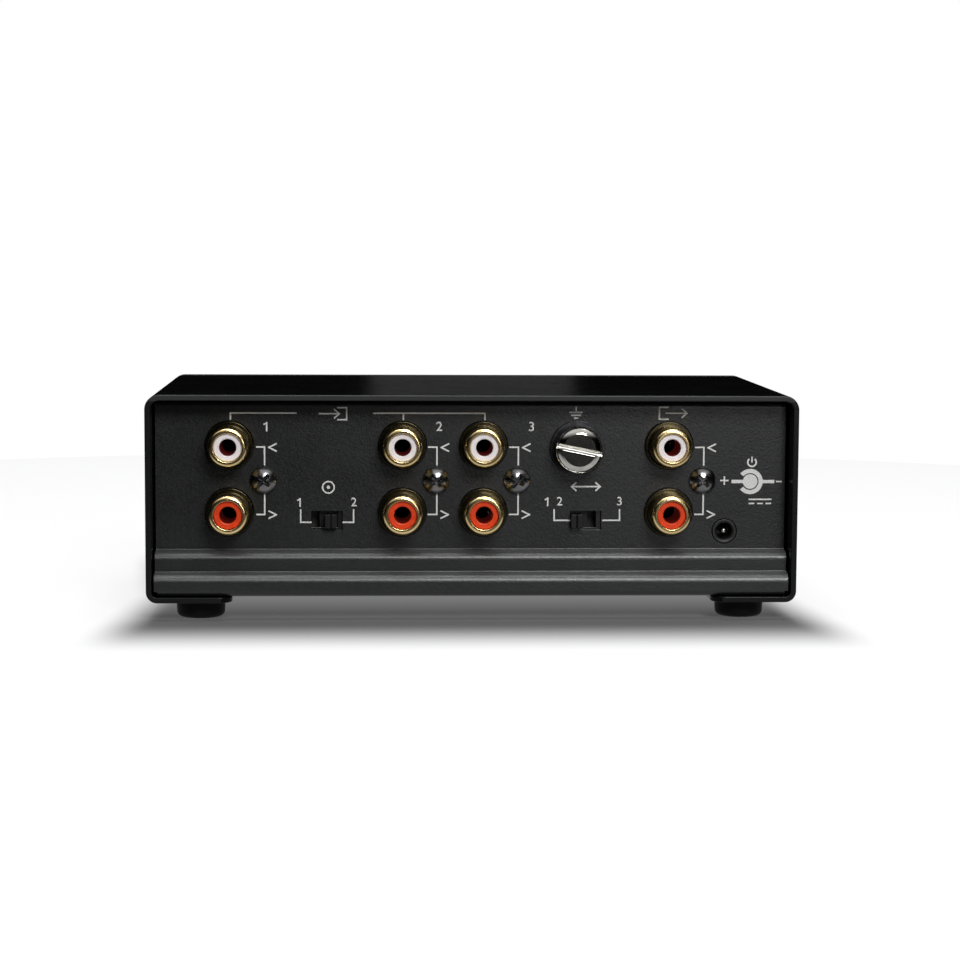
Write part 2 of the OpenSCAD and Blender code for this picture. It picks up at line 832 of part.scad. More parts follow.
module ground_screw() {
    face = thumb_l;
    rim = thumb_l - thumb_bevel_h;
    color("#c4c4c2")
        rearward(ground_x, thumb_y, ground_z)
            difference() {
                union() {
                    rotate_extrude()
                        polygon([
                            [0, 0],
                            [thumb_r - knurl_depth, 0],
                            [thumb_r, knurl_depth],
                            [thumb_r, rim - knurl_depth],
                            [thumb_r - thumb_edge, rim],
                            [thumb_groove_r, rim],
                            [thumb_groove_r, rim - thumb_groove_d],
                            [thumb_boss_r, rim - thumb_groove_d],
                            [thumb_boss_r, rim],
                            [thumb_face_r, face],
                            [0, face]
                        ]);
                    translate([0, 0, thumb_tip_y - thumb_y])
                        cylinder(r = thumb_thread_r, h = thumb_y - thumb_tip_y + cut);
                }
                for (k = [0:knurl_grooves - 1])
                    rotate([0, 0, 360 * (k + knurl_phase) / knurl_grooves])
                        translate([thumb_r, 0, -cut])
                            rotate([0, 0, 45])
                                translate([-knurl_depth, -knurl_depth, 0])
                                    cube([2 * knurl_depth, 2 * knurl_depth, rim - knurl_end + cut]);
                rotate([0, 0, -thumb_slot_tilt])
                    translate([-thumb_r - cut, -thumb_slot_w / 2, face - thumb_slot_d])
                        cube([2 * (thumb_r + cut), thumb_slot_w, thumb_slot_d + cut]);
            }
}

module ground_washer() {
    color("#9b9b99")
        rearward(ground_x, washer_y, ground_z)
            difference() {
                cylinder(r = ground_washer_r, h = ground_washer_t);
                translate([0, 0, -cut])
                    cylinder(r = thumb_thread_r + slip, h = ground_washer_t + 2 * cut);
            }
}

module ground_nut() {
    color("#b5b5b3")
        rearward(ground_x, nut_back_y, ground_z)
            difference() {
                cylinder(r = ground_nut_af / sqrt(3), h = ground_nut_t, $fn = 6);
                translate([0, 0, -cut])
                    cylinder(r = thumb_thread_r + slip, h = ground_nut_t + 2 * cut);
            }
}

// Ring under the nut, an arm to one side, then a leg down to the board
module ground_strap() {
    leg_x = ground_x + strap_arm_dx;
    color("#b8b6ae")
        difference() {
            union() {
                bar(strap_r, ground_x, panel_in_y - strap_t, panel_in_y, ground_z);
                box([ground_x, panel_in_y - strap_t, ground_z - strap_w / 2],
                    [leg_x + strap_w / 2, panel_in_y, ground_z + strap_w / 2]);
                box([leg_x - strap_w / 2, panel_in_y - strap_t, board_top],
                    [leg_x + strap_w / 2, panel_in_y, ground_z]);
                box([leg_x - strap_w / 2, panel_in_y - strap_t - strap_foot, board_top],
                    [leg_x + strap_w / 2, panel_in_y - strap_t, board_top + strap_t]);
            }
            bar(thumb_thread_r + free, ground_x, panel_in_y - strap_t - cut, panel_in_y + cut, ground_z);
        }
}

// ---------- slide switches ----------

module switch_frame(x) {
    back_y = panel_in_y - switch_d;
    inner_w = switch_half_w - switch_wall;
    inner_z = switch_half_z - switch_wall;
    color("#b9bab6")
        difference() {
            union() {
                box([x - switch_half_w, back_y, switch_mid_z - switch_half_z],
                    [x + switch_half_w, panel_in_y, switch_mid_z + switch_half_z]);
                for (side = [-1, 1])
                    translate([x + side * (switch_half_w - switch_wall / 2), panel_in_y - switch_d / 2,
                               board_top])
                        translate([-switch_wall / 2, -switch_leg_y / 2, 0])
                            cube([switch_wall, switch_leg_y, switch_mid_z - board_top]);
            }
            box([x - inner_w, back_y - cut, switch_mid_z - inner_z],
                [x + inner_w, panel_in_y - switch_wall, switch_mid_z + inner_z]);
            box([x - slot_w / 2, panel_in_y - cut, switch_mid_z - slot_z / 2],
                [x + slot_w / 2, panel_in_y + cut, switch_mid_z + slot_z / 2]);
        }
}

module switch_base(x) {
    back_y = panel_in_y - switch_d;
    half_w = switch_half_w - switch_wall - slip;
    half_z = switch_half_z - switch_wall - slip;
    color("#6b4326")
        box([x - half_w, back_y, switch_mid_z - half_z],
            [x + half_w, back_y + switch_base_t, switch_mid_z + half_z]);
    color("#c0c0bc")
        for (k = [-1:1])
            translate([x + k * switch_pin_pitch - switch_pin / 2, 0, 0])
                union() {
                    box([0, back_y - switch_pin_run, switch_mid_z - switch_pin / 2],
                        [switch_pin, back_y, switch_mid_z + switch_pin / 2]);
                    box([0, back_y - switch_pin_run - switch_pin, board_top],
                        [switch_pin, back_y - switch_pin_run, switch_mid_z + switch_pin / 2]);
                }
}

module switch_knob(switch_x, x) {
    plate_y = panel_in_y - switch_wall - slide_gap;
    color("#1d1d1f")
        difference() {
            union() {
                box([x - slider_half_w, plate_y - slider_t, switch_mid_z - slider_half_z],
                    [x + slider_half_w, plate_y, switch_mid_z + slider_half_z]);
                box([x - knob_w / 2, plate_y - slider_t, knob_mid_z - knob_z / 2],
                    [x + knob_w / 2, knob_front_y - knob_edge, knob_mid_z + knob_z / 2]);
                box([x - knob_w / 2 + knob_edge, plate_y, knob_mid_z - knob_z / 2 + knob_edge],
                    [x + knob_w / 2 - knob_edge, knob_front_y, knob_mid_z + knob_z / 2 - knob_edge]);
            }
            box([x - knob_groove / 2, knob_front_y - 2 * knob_groove, knob_mid_z - knob_z],
                [x + knob_groove / 2, knob_front_y + cut, knob_mid_z + knob_z]);
        }
}

module cartridge_switch_frame() { switch_frame(cartridge_switch_x); }
module cartridge_switch_base() { switch_base(cartridge_switch_x); }
module cartridge_switch_knob() { switch_knob(cartridge_switch_x, cartridge_knob_x); }
module input_switch_frame() { switch_frame(input_switch_x); }
module input_switch_base() { switch_base(input_switch_x); }
module input_switch_knob() { switch_knob(input_switch_x, input_knob_x); }

// ---------- power inlet ----------

module inlet_body() {
    color("#161617")
        difference() {
            union() {
                box([inlet_x - inlet_half_w, inlet_back_y, board_top],
                    [inlet_x + inlet_half_w, inlet_front_y, inlet_z + inlet_cap]);
                bar(inlet_nose_r, inlet_x, inlet_front_y - cut, inlet_nose_y, inlet_z);
            }
            bar(inlet_bore_r, inlet_x, inlet_nose_y - inlet_bore_l, inlet_nose_y + cut, inlet_z);
            rearward(inlet_x, inlet_nose_y - inlet_mouth, inlet_z)
                cylinder(r1 = inlet_bore_r, r2 = inlet_bore_r + 2 * inlet_mouth, h = 2 * inlet_mouth);
            bar(inlet_pin_r + slip, inlet_x, inlet_back_y - cut, inlet_nose_y - inlet_bore_l + cut,
                inlet_z);
        }
}

module inlet_pin() {
    tip_y = inlet_nose_y - inlet_pin_inset - inlet_pin_r;
    tail_y = inlet_back_y - inlet_pin_tail;
    color("#b9b7b0")
        union() {
            bar(inlet_pin_r, inlet_x, tail_y, tip_y, inlet_z);
            translate([inlet_x, tip_y, inlet_z])
                sphere(r = inlet_pin_r);
            box([inlet_x - inlet_pin_r, tail_y - inlet_pin_r, board_top],
                [inlet_x + inlet_pin_r, tail_y + slip, inlet_z + inlet_pin_r]);
        }
}

// ---------- feet ----------

module foot(x, y) {
    low_r = foot_r - foot_taper;
    color("#141415")
        translate([x, y, 0])
            difference() {
                rotate_extrude()
                    polygon([
                        [0, 0],
                        [low_r - foot_edge_r, 0],
                        for (a = [foot_arc_step:foot_arc_step:90 - foot_arc_step])
                            [low_r - foot_edge_r + foot_edge_r * sin(a), foot_edge_r * (1 - cos(a))],
                        [low_r, foot_edge_r],
                        [foot_r, foot_h],
                        [0, foot_h]
                    ]);
                translate([0, 0, -cut])
                    cylinder(r = foot_well_r, h = foot_well_h + cut);
                cylinder(r = foot_screw_r + slip, h = foot_h + cut);
            }
}

module foot_rear_left() { foot(-foot_x, foot_rear_y); }
module foot_rear_right() { foot(foot_x, foot_rear_y); }
module foot_front_left() { foot(-foot_x, foot_front_y); }
module foot_front_right() { foot(foot_x, foot_front_y); }

module foot_screws() {
    color("#8d8d8f")
        for (at = foot_at)
            translate([at[0], at[1], foot_well_h])
                rotate([180, 0, 0])
                    pan_screw(foot_screw_head_r, foot_screw_rim, foot_screw_dome, foot_screw_r,
                              foot_screw_tip_z - foot_well_h);
}

module clinch_nuts() {
    color("#c2c2c4")
        for (at = foot_at)
            translate([at[0], at[1], floor_z])
                difference() {
                    cylinder(r = nut_r, h = nut_h);
                    translate([0, 0, -cut])
                        cylinder(r = foot_screw_r + slip, h = nut_h + 2 * cut);
                }
}

// ---------- parts on the circuit board ----------

module electrolytic_capacitors() {
    for (x = cap_row_x)
        translate([x, board_front_y + cap_row_dy, board_top])
            color("#26272c")
                difference() {
                    union() {
                        cylinder(r = cap_r - cap_neck, h = cap_base);
                        translate([0, 0, cap_base])
                            cylinder(r = cap_r, h = cap_h - cap_base);
                    }
                    for (a = [0, 90])
                        rotate([0, 0, a])
                            translate([-cap_r / 2, -cap_vent / 2, cap_h - cap_vent])
                                cube([cap_r, cap_vent, cap_vent + cut]);
                }
}

module film_capacitors() {
    color("#b4232b")
        for (x = film_row_x)
            box([x - film_w / 2, board_front_y + film_row_dy - film_d / 2, board_top],
                [x + film_w / 2, board_front_y + film_row_dy + film_d / 2, board_top + film_h]);
}

module op_amps() {
    y = board_front_y + amp_row_dy;
    for (x = amp_row_x) {
        color("#17181a")
            difference() {
                box([x - amp_w / 2, y - amp_d / 2, board_top + amp_lift],
                    [x + amp_w / 2, y + amp_d / 2, board_top + amp_lift + amp_h]);
                translate([x - amp_w / 2, y, board_top + amp_lift + amp_h - amp_notch_d])
                    cylinder(r = amp_notch_r, h = amp_notch_d + cut);
            }
        color("#c4c4c6")
            for (k = [0:3], side = [-1, 1])
                translate([x + (k - 1.5) * pin_pitch, y + side * (amp_d + amp_pin) / 2, board_top])
                    translate([-amp_pin / 2, -amp_pin / 2, 0])
                        cube([amp_pin, amp_pin, amp_lift + amp_h / 2]);
    }
}

module resistor(x, y) {
    z = board_top + resistor_r + resistor_lift;
    color("#4a8fb0")
        translate([x - resistor_l / 2, y, z])
            rotate([0, 90, 0])
                cylinder(r = resistor_r, h = resistor_l);
    color("#c8c8c8")
        for (side = [-1, 1]) {
            translate([x + side * (resistor_l + resistor_span) / 4, y, z])
                rotate([0, 90, 0])
                    cylinder(r = lead_r, h = (resistor_span - resistor_l) / 2 + 2 * lead_r, center = true);
            translate([x + side * resistor_span / 2, y, board_top])
                cylinder(r = lead_r, h = z - board_top);
        }
}

module resistors() {
    for (dy = resistor_rows_dy, x = resistor_row_x)
        resistor(x, board_front_y + dy);
}

module regulator() {
    y = board_front_y + regulator_dy;
    low = board_top + regulator_lift;
    high = low + regulator_h;
    color("#1a1a1c")
        box([regulator_x - regulator_w / 2, y, low],
            [regulator_x + regulator_w / 2, y + regulator_t - tab_t, high]);
    color("#c4c4c6")
        difference() {
            box([regulator_x - regulator_w / 2, y + regulator_t - tab_t, low],
                [regulator_x + regulator_w / 2, y + regulator_t, high + tab_h]);
            bar(tab_hole_r, regulator_x, y, y + regulator_t + cut, high + tab_h / 2);
        }
    color("#c4c4c6")
        for (k = [-1:1])
            translate([regulator_x + k * pin_pitch - regulator_pin_w / 2, y + regulator_pin_dy, board_top])
                cube([regulator_pin_w, regulator_pin_t, regulator_lift]);
}

cover();
tray();
fascia();
fascia_screws();
light_pipe();
lamp();
lamp_holder();
circuit_board();
board_spacers();
board_screws();
coil_jack_housing();
magnet_jack_housing();
line_jack_housing();
output_jack_housing();
coil_left_shell();
magnet_left_shell();
line_left_shell();
output_left_shell();
coil_right_shell();
magnet_right_shell();
line_right_shell();
output_right_shell();
coil_left_insulator();
magnet_left_insulator();
line_left_insulator();
output_left_insulator();
coil_right_insulator();
magnet_right_insulator();
line_right_insulator();
output_right_insulator();
coil_jack_contacts();
magnet_jack_contacts();
line_jack_contacts();
output_jack_contacts();
jack_screws();
ground_screw();
ground_washer();
ground_nut();
ground_strap();
cartridge_switch_frame();
cartridge_switch_base();
cartridge_switch_knob();
input_switch_frame();
input_switch_base();
input_switch_knob();
inlet_body();
inlet_pin();
foot_rear_left();
foot_rear_right();
foot_front_left();
foot_front_right();
foot_screws();
clinch_nuts();
electrolytic_capacitors();
film_capacitors();
op_amps();
resistors();
regulator();
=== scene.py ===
import json
import math

import bmesh
import bpy
from mathutils import Matrix, Vector


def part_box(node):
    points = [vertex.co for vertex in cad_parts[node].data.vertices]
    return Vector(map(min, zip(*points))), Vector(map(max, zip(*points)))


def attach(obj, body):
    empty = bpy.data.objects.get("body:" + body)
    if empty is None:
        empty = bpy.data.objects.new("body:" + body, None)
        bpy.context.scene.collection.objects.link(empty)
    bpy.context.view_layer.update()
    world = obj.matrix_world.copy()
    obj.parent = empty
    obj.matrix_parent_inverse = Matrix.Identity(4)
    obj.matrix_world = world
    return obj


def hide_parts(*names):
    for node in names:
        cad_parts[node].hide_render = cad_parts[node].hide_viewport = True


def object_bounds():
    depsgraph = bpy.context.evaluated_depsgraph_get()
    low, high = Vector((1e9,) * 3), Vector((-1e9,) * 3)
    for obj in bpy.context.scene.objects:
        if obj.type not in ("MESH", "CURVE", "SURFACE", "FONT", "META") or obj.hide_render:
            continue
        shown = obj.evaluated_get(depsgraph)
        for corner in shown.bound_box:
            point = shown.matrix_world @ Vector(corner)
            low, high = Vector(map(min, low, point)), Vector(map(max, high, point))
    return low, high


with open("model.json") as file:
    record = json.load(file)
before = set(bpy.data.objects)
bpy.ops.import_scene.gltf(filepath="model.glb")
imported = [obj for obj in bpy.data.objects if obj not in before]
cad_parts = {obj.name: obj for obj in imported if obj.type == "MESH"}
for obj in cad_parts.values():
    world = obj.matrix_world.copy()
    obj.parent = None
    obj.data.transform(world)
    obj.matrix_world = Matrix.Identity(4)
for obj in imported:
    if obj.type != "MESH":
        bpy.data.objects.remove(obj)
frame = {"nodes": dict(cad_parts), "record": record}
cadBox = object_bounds()
mm = 0.001
record = frame["record"]
nodes = frame["nodes"]
print("frame loaded,", len(nodes), "nodes")

slotOfNode = {part["node"]: part["material_slot"] for part in record["subparts"]}
bodyOfNode = {node: body for body, members in record["behaviour"]["bodies"].items() for node in members}
jacks = ["coil", "magnet", "line", "output"]
sides = ["left", "right"]
footNodes = ["foot_rear_left", "foot_rear_right", "foot_front_left", "foot_front_right"]


# shader nodes

def operator(operation, turned=False):  # turned when the plain number stands first
    if turned:
        return lambda wire, other: wire.math(operation, other, wire)
    return lambda wire, other: wire.math(operation, wire, other)


class Wire:  # a socket that can be used in a sum
    def __init__(self, tree, socket):
        self.tree = tree
        self.socket = socket

    def math(self, operation, first, second=None):
        values = {0: first} if second is None else {0: first, 1: second}
        return self.tree.add("ShaderNodeMath", {"operation": operation}, values)

    __add__, __radd__ = operator("ADD"), operator("ADD", True)
    __sub__, __rsub__ = operator("SUBTRACT"), operator("SUBTRACT", True)
    __mul__, __rmul__ = operator("MULTIPLY"), operator("MULTIPLY", True)
    __gt__, __lt__ = operator("GREATER_THAN"), operator("LESS_THAN")
    power, most = operator("POWER"), operator("MAXIMUM")

    def size(self):
        return self.math("ABSOLUTE", self)

    def wave(self, pitch):  # a sine with its pitch in millimetres
        return self.math("SINE", self * (math.tau / (pitch * mm)))


class Tree:  # the nodes of one material or of the world
    def __init__(self, owner):
        self.owner = owner
        owner.use_nodes = True
        self.nodes = owner.node_tree.nodes
        self.links = owner.node_tree.links
        self.nodes.clear()

    def add(self, kind, settings=None, values=None, out=0):
        node = self.nodes.new(kind)
        for name, value in (settings or {}).items():
            if name == "stops":
                self.setStops(node.color_ramp, value)
            else:
                setattr(node, name, value)
        for name, value in (values or {}).items():
            socket = node.inputs[name]
            if isinstance(value, Wire):
                self.links.new(value.socket, socket)
            elif socket.type == "RGBA" and len(value) == 3:
                socket.default_value = (*value, 1)
            else:
                socket.default_value = value
        return Wire(self, node.outputs[out]) if node.outputs else node

    def setStops(self, ramp, stops):
        while len(ramp.elements) < len(stops):
            ramp.elements.new(0.5)
        for element, (place, shade) in zip(ramp.elements, stops):
            element.position = place
            element.color = (shade, shade, shade, 1)

    def ramp(self, fac, *stops):
        return self.add("ShaderNodeValToRGB", {"stops": stops}, {"Fac": fac})

    def place(self):
        return self.add("ShaderNodeTexCoord", out="Object")

    def ray(self, kind):
        return self.add("ShaderNodeLightPath", out=f"Is {kind} Ray")

    def axes(self, vector):
        split = self.add("ShaderNodeSeparateXYZ", {}, {0: vector}).socket.node
        return [Wire(self, socket) for socket in split.outputs]

    def noise(self, vector, cell, detail=2.0, roughness=0.5):  # cell in millimetres
        return self.add("ShaderNodeTexNoise", {}, {
            "Vector": vector, "Scale": 1 / (cell * mm), "Detail": detail, "Roughness": roughness})

    def cellEdges(self, vector, cell):
        return self.add("ShaderNodeTexVoronoi", {"feature": "DISTANCE_TO_EDGE"}, {
            "Vector": vector, "Scale": 1 / (cell * mm)})

    def stretched(self, vector, x, y, z):  # squeezes a pattern, so that it grows along the smallest of the three
        return self.add("ShaderNodeMapping", {}, {"Vector": vector, "Scale": (x, y, z)})

    def fade(self, value, start, end, low=0.0, high=1.0):
        return self.add("ShaderNodeMapRange", {"interpolation_type": "SMOOTHSTEP"}, {
            "Value": value, "From Min": start, "From Max": end, "To Min": low, "To Max": high})

    def mix(self, factor, first, second):
        return self.add("ShaderNodeMix", {"data_type": "RGBA"}, {0: factor, 6: first, 7: second}, 2)

    def mottle(self, pattern, low, high, first, second):
        return self.mix(self.ramp(pattern, (low, 0.0), (high, 1.0)), first, second)

    def surface(self, colour, roughness, height, depth, others):  # a relief of some height, its depth in millimetres
        relief = self.add("ShaderNodeBump", {}, {"Height": height, "Distance": depth * mm})
        shader = self.add("ShaderNodeBsdfPrincipled", {}, {
            "Base Color": colour, "Roughness": roughness, "Normal": relief, **others})
        self.add("ShaderNodeOutputMaterial", {}, {"Surface": shader})
        return self.owner


def newMaterial(name):
    tree = Tree(bpy.data.materials.new(name))
    return tree, tree.place()


# materials

powderCoat = {
    "colour": (0.0070, 0.0075, 0.0082), "worn": (0.0150, 0.0158, 0.0168), "grain": 0.42, "patch": 9.0,
    "sheared": (0.011, 0.0112, 0.0118), "paintedTopRimHighlight": (0.036, 0.0365, 0.0375), "edgeDepth": 0.12, "edgeHeight": 1.3,
    "ledgeHeights": (6.0, 10.3), "ledge": (-1.5, 0.1), "ledgeFade": 0.4, "paintedBendHighlight": (0.075, 0.076, 0.078),
}
# painted shade: the cover takes the tray's powder coat at a far darker tone, so that its top shows black
coverLook = {"specular": 0.07, "roughness": 0.2, "tone": 0.10, "depth": 0.030}
trayLook = {"specular": 0.5, "roughness": 0.33, "tone": 0.85, "depth": 0.06}


def makePowderCoat(name, look, rim=None, ledges=()):
    tree, place = newMaterial(name)
    y, z = tree.axes(place)[1:]
    grain = tree.noise(place, powderCoat["grain"], 2.5, 0.6)
    fine = tree.noise(place, powderCoat["grain"] * 0.4, 1.0)
    patch = tree.noise(place, powderCoat["patch"], 3.0)
    dark, light = [[look["tone"] * part for part in powderCoat[key]] for key in ("colour", "worn")]
    colour = tree.mottle(patch * 0.35 + grain * 0.65, 0.3, 0.75, dark, light)
    if rim:  # the coat is thin and lighter on the sheared edges, and these are partly painted light; the top rim is lighter still, a painted highlight where light from above catches it
        cutEdge = y > (rim.y - powderCoat["edgeDepth"]) * mm
        topRimHighlight = cutEdge * (z > (rim.z - powderCoat["edgeHeight"]) * mm)
        colour = tree.mix(topRimHighlight, tree.mix(cutEdge, colour, powderCoat["sheared"]), powderCoat["paintedTopRimHighlight"])
    for top in ledges:  # painted highlight: the outer bends of the ledges are lighter, broken up by the grain
        low, high = [(top + part) * mm for part in powderCoat["ledge"]]
        bend = tree.fade(z, low, low + powderCoat["ledgeFade"] * mm) * (z < high)
        colour = tree.mix(bend * (0.55 + 0.9 * (grain - 0.5)), colour, powderCoat["paintedBendHighlight"])
    rough = look["roughness"] + 0.16 * (grain - 0.5) + 0.06 * (patch - 0.5)
    height = grain * 0.75 + fine * 0.25
    return tree.surface(colour, rough, height, look["depth"], {"Specular IOR Level": look["specular"]})


anodised = {"colour": (0.016, 0.016, 0.018), "light": (0.026, 0.026, 0.029), "blast": 0.12, "blastDepth": 0.006}


def makeAnodised(name):
    tree, place = newMaterial(name)
    streak = tree.noise(tree.stretched(place, 0.03, 1, 1), 0.16, 2.0)  # brushed along the width
    height = streak * 0.7 + tree.noise(place, anodised["blast"], 2.0) * 0.3
    tone = tree.mottle(height, 0.32, 0.7, anodised["colour"], anodised["light"])
    return tree.surface(tone, 0.34 + 0.16 * streak, height, anodised["blastDepth"], {"Metallic": 0.6})


metals = {  # colour, clouded colour, roughness, size of the grain, depth of the grain
    "gilt": ((0.86, 0.63, 0.25), (0.72, 0.50, 0.17), 0.17, 0.2, 0.002),
    "darkNickel": ((0.24, 0.24, 0.245), (0.15, 0.15, 0.155), 0.22, 0.25, 0.006),
    # painted shade: the washer's nickel, darkened to near black
    "shadedWasherNickel": ((0.06, 0.06, 0.064), (0.03, 0.03, 0.033), 0.3, 0.25, 0.006),
    "nickel": ((0.66, 0.65, 0.61), (0.52, 0.51, 0.47), 0.16, 0.15, 0.003),
    "zinc": ((0.60, 0.60, 0.58), (0.45, 0.46, 0.46), 0.32, 0.3, 0.006),
    "tin": ((0.58, 0.57, 0.54), (0.44, 0.44, 0.42), 0.2, 0.4, 0.004),
    # painted shade: the tinned steel of the switch frames, darkened to near black
    "shadedFrameSteel": ((0.10, 0.10, 0.10), (0.06, 0.06, 0.062), 0.24, 0.4, 0.004),
}


def makeMetal(name):
    tree, place = newMaterial(name)
    colour, clouded, roughness, cell, depth = metals[name]
    cloud = tree.noise(place, cell * 8, 3.0)
    grain = tree.noise(place, cell, 2.0)
    tone = tree.mottle(cloud, 0.35, 0.7, colour, clouded)
    rough = roughness + 0.12 * (cloud * 0.6 + grain * 0.4 - 0.5)
    return tree.surface(tone, rough, grain, depth, {"Metallic": 1.0})


# painted shade: the gilt shell is duller on its barrel and nearly black on its collar
shellLook = {
    "lip": (0.90, 0.70, 0.36), "lipClouded": (0.80, 0.59, 0.26), "barrel": (0.62, 0.45, 0.19),
    "collar": (0.075, 0.064, 0.036), "lipFade": (1.5, 0.9), "collarTop": 4.85,
}


def makeShellGilt(name, low, high):  # bright on the lip; painted shade makes it duller on the barrel and dark on the collar
    tree, place = newMaterial(name)
    along = tree.axes(place)[1]
    cloud = tree.noise(place, 1.6, 3.0)
    grain = tree.noise(place, 0.2, 2.0)
    start, end = [(high.y - part) * mm for part in shellLook["lipFade"]]
    foot = low.y + shellLook["collarTop"]
    lip = tree.mottle(cloud, 0.35, 0.7, shellLook["lip"], shellLook["lipClouded"])
    paintedShadeBelowLip = tree.mix(tree.fade(along, foot * mm, (foot + 0.1) * mm), shellLook["collar"], shellLook["barrel"])
    tone = tree.mix(tree.fade(along, start, end), paintedShadeBelowLip, lip)
    rough = 0.2 + 0.12 * (cloud * 0.6 + grain * 0.4 - 0.5)
    return tree.surface(tone, rough, grain, 0.002, {"Metallic": 1.0})


turnedLook = {
    "colour": (0.62, 0.61, 0.57), "clouded": (0.46, 0.45, 0.42), "ringPitch": 0.16,
    "slotStart": 0.68, "slotRadius": 4.4, "slotRoughness": 0.26,
}


def makeTurned(name, axis, faceY):  # nickel with the fine rings of a lathe tool round an axis along Y
    tree, place = newMaterial(name)
    x, y, z = tree.axes(place)
    dx = x - axis.x * mm
    dz = z - axis.z * mm
    radius = (dx * dx + dz * dz).power(0.5)
    rings = radius.wave(turnedLook["ringPitch"]) * 0.5 + 0.5
    cloud = tree.noise(place, 1.5, 3.0)
    grain = tree.noise(place, 0.12, 2.0)
    slot = (y < (faceY - turnedLook["slotStart"]) * mm) * (radius < turnedLook["slotRadius"] * mm)
    tone = tree.mottle(cloud, 0.3, 0.7, turnedLook["colour"], turnedLook["clouded"])
    rough = 0.06 + 0.07 * cloud + 0.03 * grain + turnedLook["slotRoughness"] * slot
    return tree.surface(tone, rough, rings * 0.8 + grain * 0.2, 0.0008, {"Metallic": 1.0})


plastics = {  # colour, second colour, roughness, size of the grain, specular level
    "blackPlastic": ((0.007, 0.007, 0.008), (0.014, 0.014, 0.015), 0.4, 0.3, 0.5),
    "knobPlastic": ((0.003, 0.003, 0.003), (0.006, 0.006, 0.006), 0.42, 0.2, 0.3),
}


def makePlastic(name):
    tree, place = newMaterial(name)
    colour, second, roughness, cell, specular = plastics[name]
    cloud = tree.noise(place, cell * 6, 2.0)
    grain = tree.noise(place, cell, 3.0)
    tone = tree.mottle(cloud * 0.5 + grain * 0.5, 0.3, 0.72, colour, second)
    return tree.surface(tone, roughness + 0.14 * (grain - 0.5), grain, 0.01, {"Specular IOR Level": specular})


insulatorLook = {  # colour, second colour and painted shade down in the hole
    "whiteRing": ((0.82, 0.78, 0.79), (0.74, 0.70, 0.71), (0.16, 0.014, 0.016)),
    "redRing": ((0.68, 0.052, 0.008), (0.58, 0.038, 0.006), (0.13, 0.006, 0.003)),
    "holeStart": 0.25, "holeEnd": 0.7, "paintedHoleGlow": (0.022, 0.0022, 0.0018),
}


def makeInsulator(name, faceY):
    tree, place = newMaterial(name)
    colour, second, paintedHoleShade = insulatorLook[name]
    cloud = tree.noise(place, 1.4, 2.0)
    grain = tree.noise(place, 0.25, 2.0)
    depth = faceY * mm - tree.axes(place)[1]
    inside = tree.fade(depth, insulatorLook["holeStart"] * mm, insulatorLook["holeEnd"] * mm)
    skin = tree.mottle(cloud, 0.35, 0.7, colour, second)
    # painted glow: the hole gives a faint light of its own
    glow = tree.mix(inside, (0.0, 0.0, 0.0), insulatorLook["paintedHoleGlow"])
    return tree.surface(tree.mix(inside, skin, paintedHoleShade), 0.3 + 0.12 * grain, grain * 0.5 + cloud * 0.5, 0.012, {
        "Specular IOR Level": 0.3, "Emission Color": glow, "Emission Strength": 1.0})


def makeRubber(name):
    tree, place = newMaterial(name)
    grain = tree.noise(place, 0.3, 4.0, 0.7)
    dust = tree.noise(place, 3.0, 3.0) * 0.6 + grain * 0.4
    tone = tree.mottle(dust, 0.35, 0.75, (0.0025, 0.0025, 0.0027), (0.0055, 0.0055, 0.0058))
    return tree.surface(tone, 0.6 + 0.2 * (grain - 0.5), grain, 0.03, {"Specular IOR Level": 0.08})


boardParts = {"weave": 0.5, "track": 2.2, "bareTop": 0.35, "stripePitch": 9.0, "pinHeight": 0.6, "bandPitch": 1.3}


def makeBoard(name):
    tree, place = newMaterial(name)
    x, y = tree.axes(place)[:2]
    tracks = tree.cellEdges(tree.stretched(place, 1.0, 0.35, 1.0), boardParts["track"])
    copper = tree.ramp(tracks, (0.03, 1.0), (0.05, 0.0))
    weave = (x.wave(boardParts["weave"]) + y.wave(boardParts["weave"])) * 0.25 + 0.5
    mask = tree.mix(weave, (0.010, 0.085, 0.030), (0.014, 0.105, 0.040))
    tone = tree.mix(copper, mask, (0.05, 0.20, 0.07))
    rough = 0.32 + 0.1 * tree.noise(place, 0.6)
    return tree.surface(tone, rough, copper, 0.03, {"Coat Weight": 0.3, "Coat Roughness": 0.12})


def makeSleeve(name, topZ):  # shrink sleeve with a pale stripe and a bare aluminium top
    tree, place = newMaterial(name)
    across, _, height = tree.axes(place)
    grain = tree.noise(place, 0.4, 2.0)
    top = height > (topZ - boardParts["bareTop"]) * mm
    stripe = tree.ramp(across.wave(boardParts["stripePitch"]), (0.93, 0.0), (0.95, 1.0))
    sleeve = tree.mix(stripe, (0.012, 0.013, 0.022), (0.45, 0.44, 0.36))
    tone = tree.mix(top, sleeve, (0.68, 0.68, 0.69))
    return tree.surface(tone, 0.3 + 0.15 * grain, grain, 0.01, {"Metallic": top})


def makeChip(name, boardTop):  # moulded epoxy; its pins, low at its sides, are tinned
    tree, place = newMaterial(name)
    grain = tree.noise(place, 0.18, 3.0)
    pins = tree.axes(place)[2] < (boardTop + boardParts["pinHeight"]) * mm
    epoxy = tree.mix(grain, (0.010, 0.010, 0.011), (0.028, 0.028, 0.030))
    tone = tree.mix(pins, epoxy, (0.6, 0.6, 0.58))
    return tree.surface(tone, 0.48 + 0.16 * grain, grain, 0.012, {"Metallic": pins})


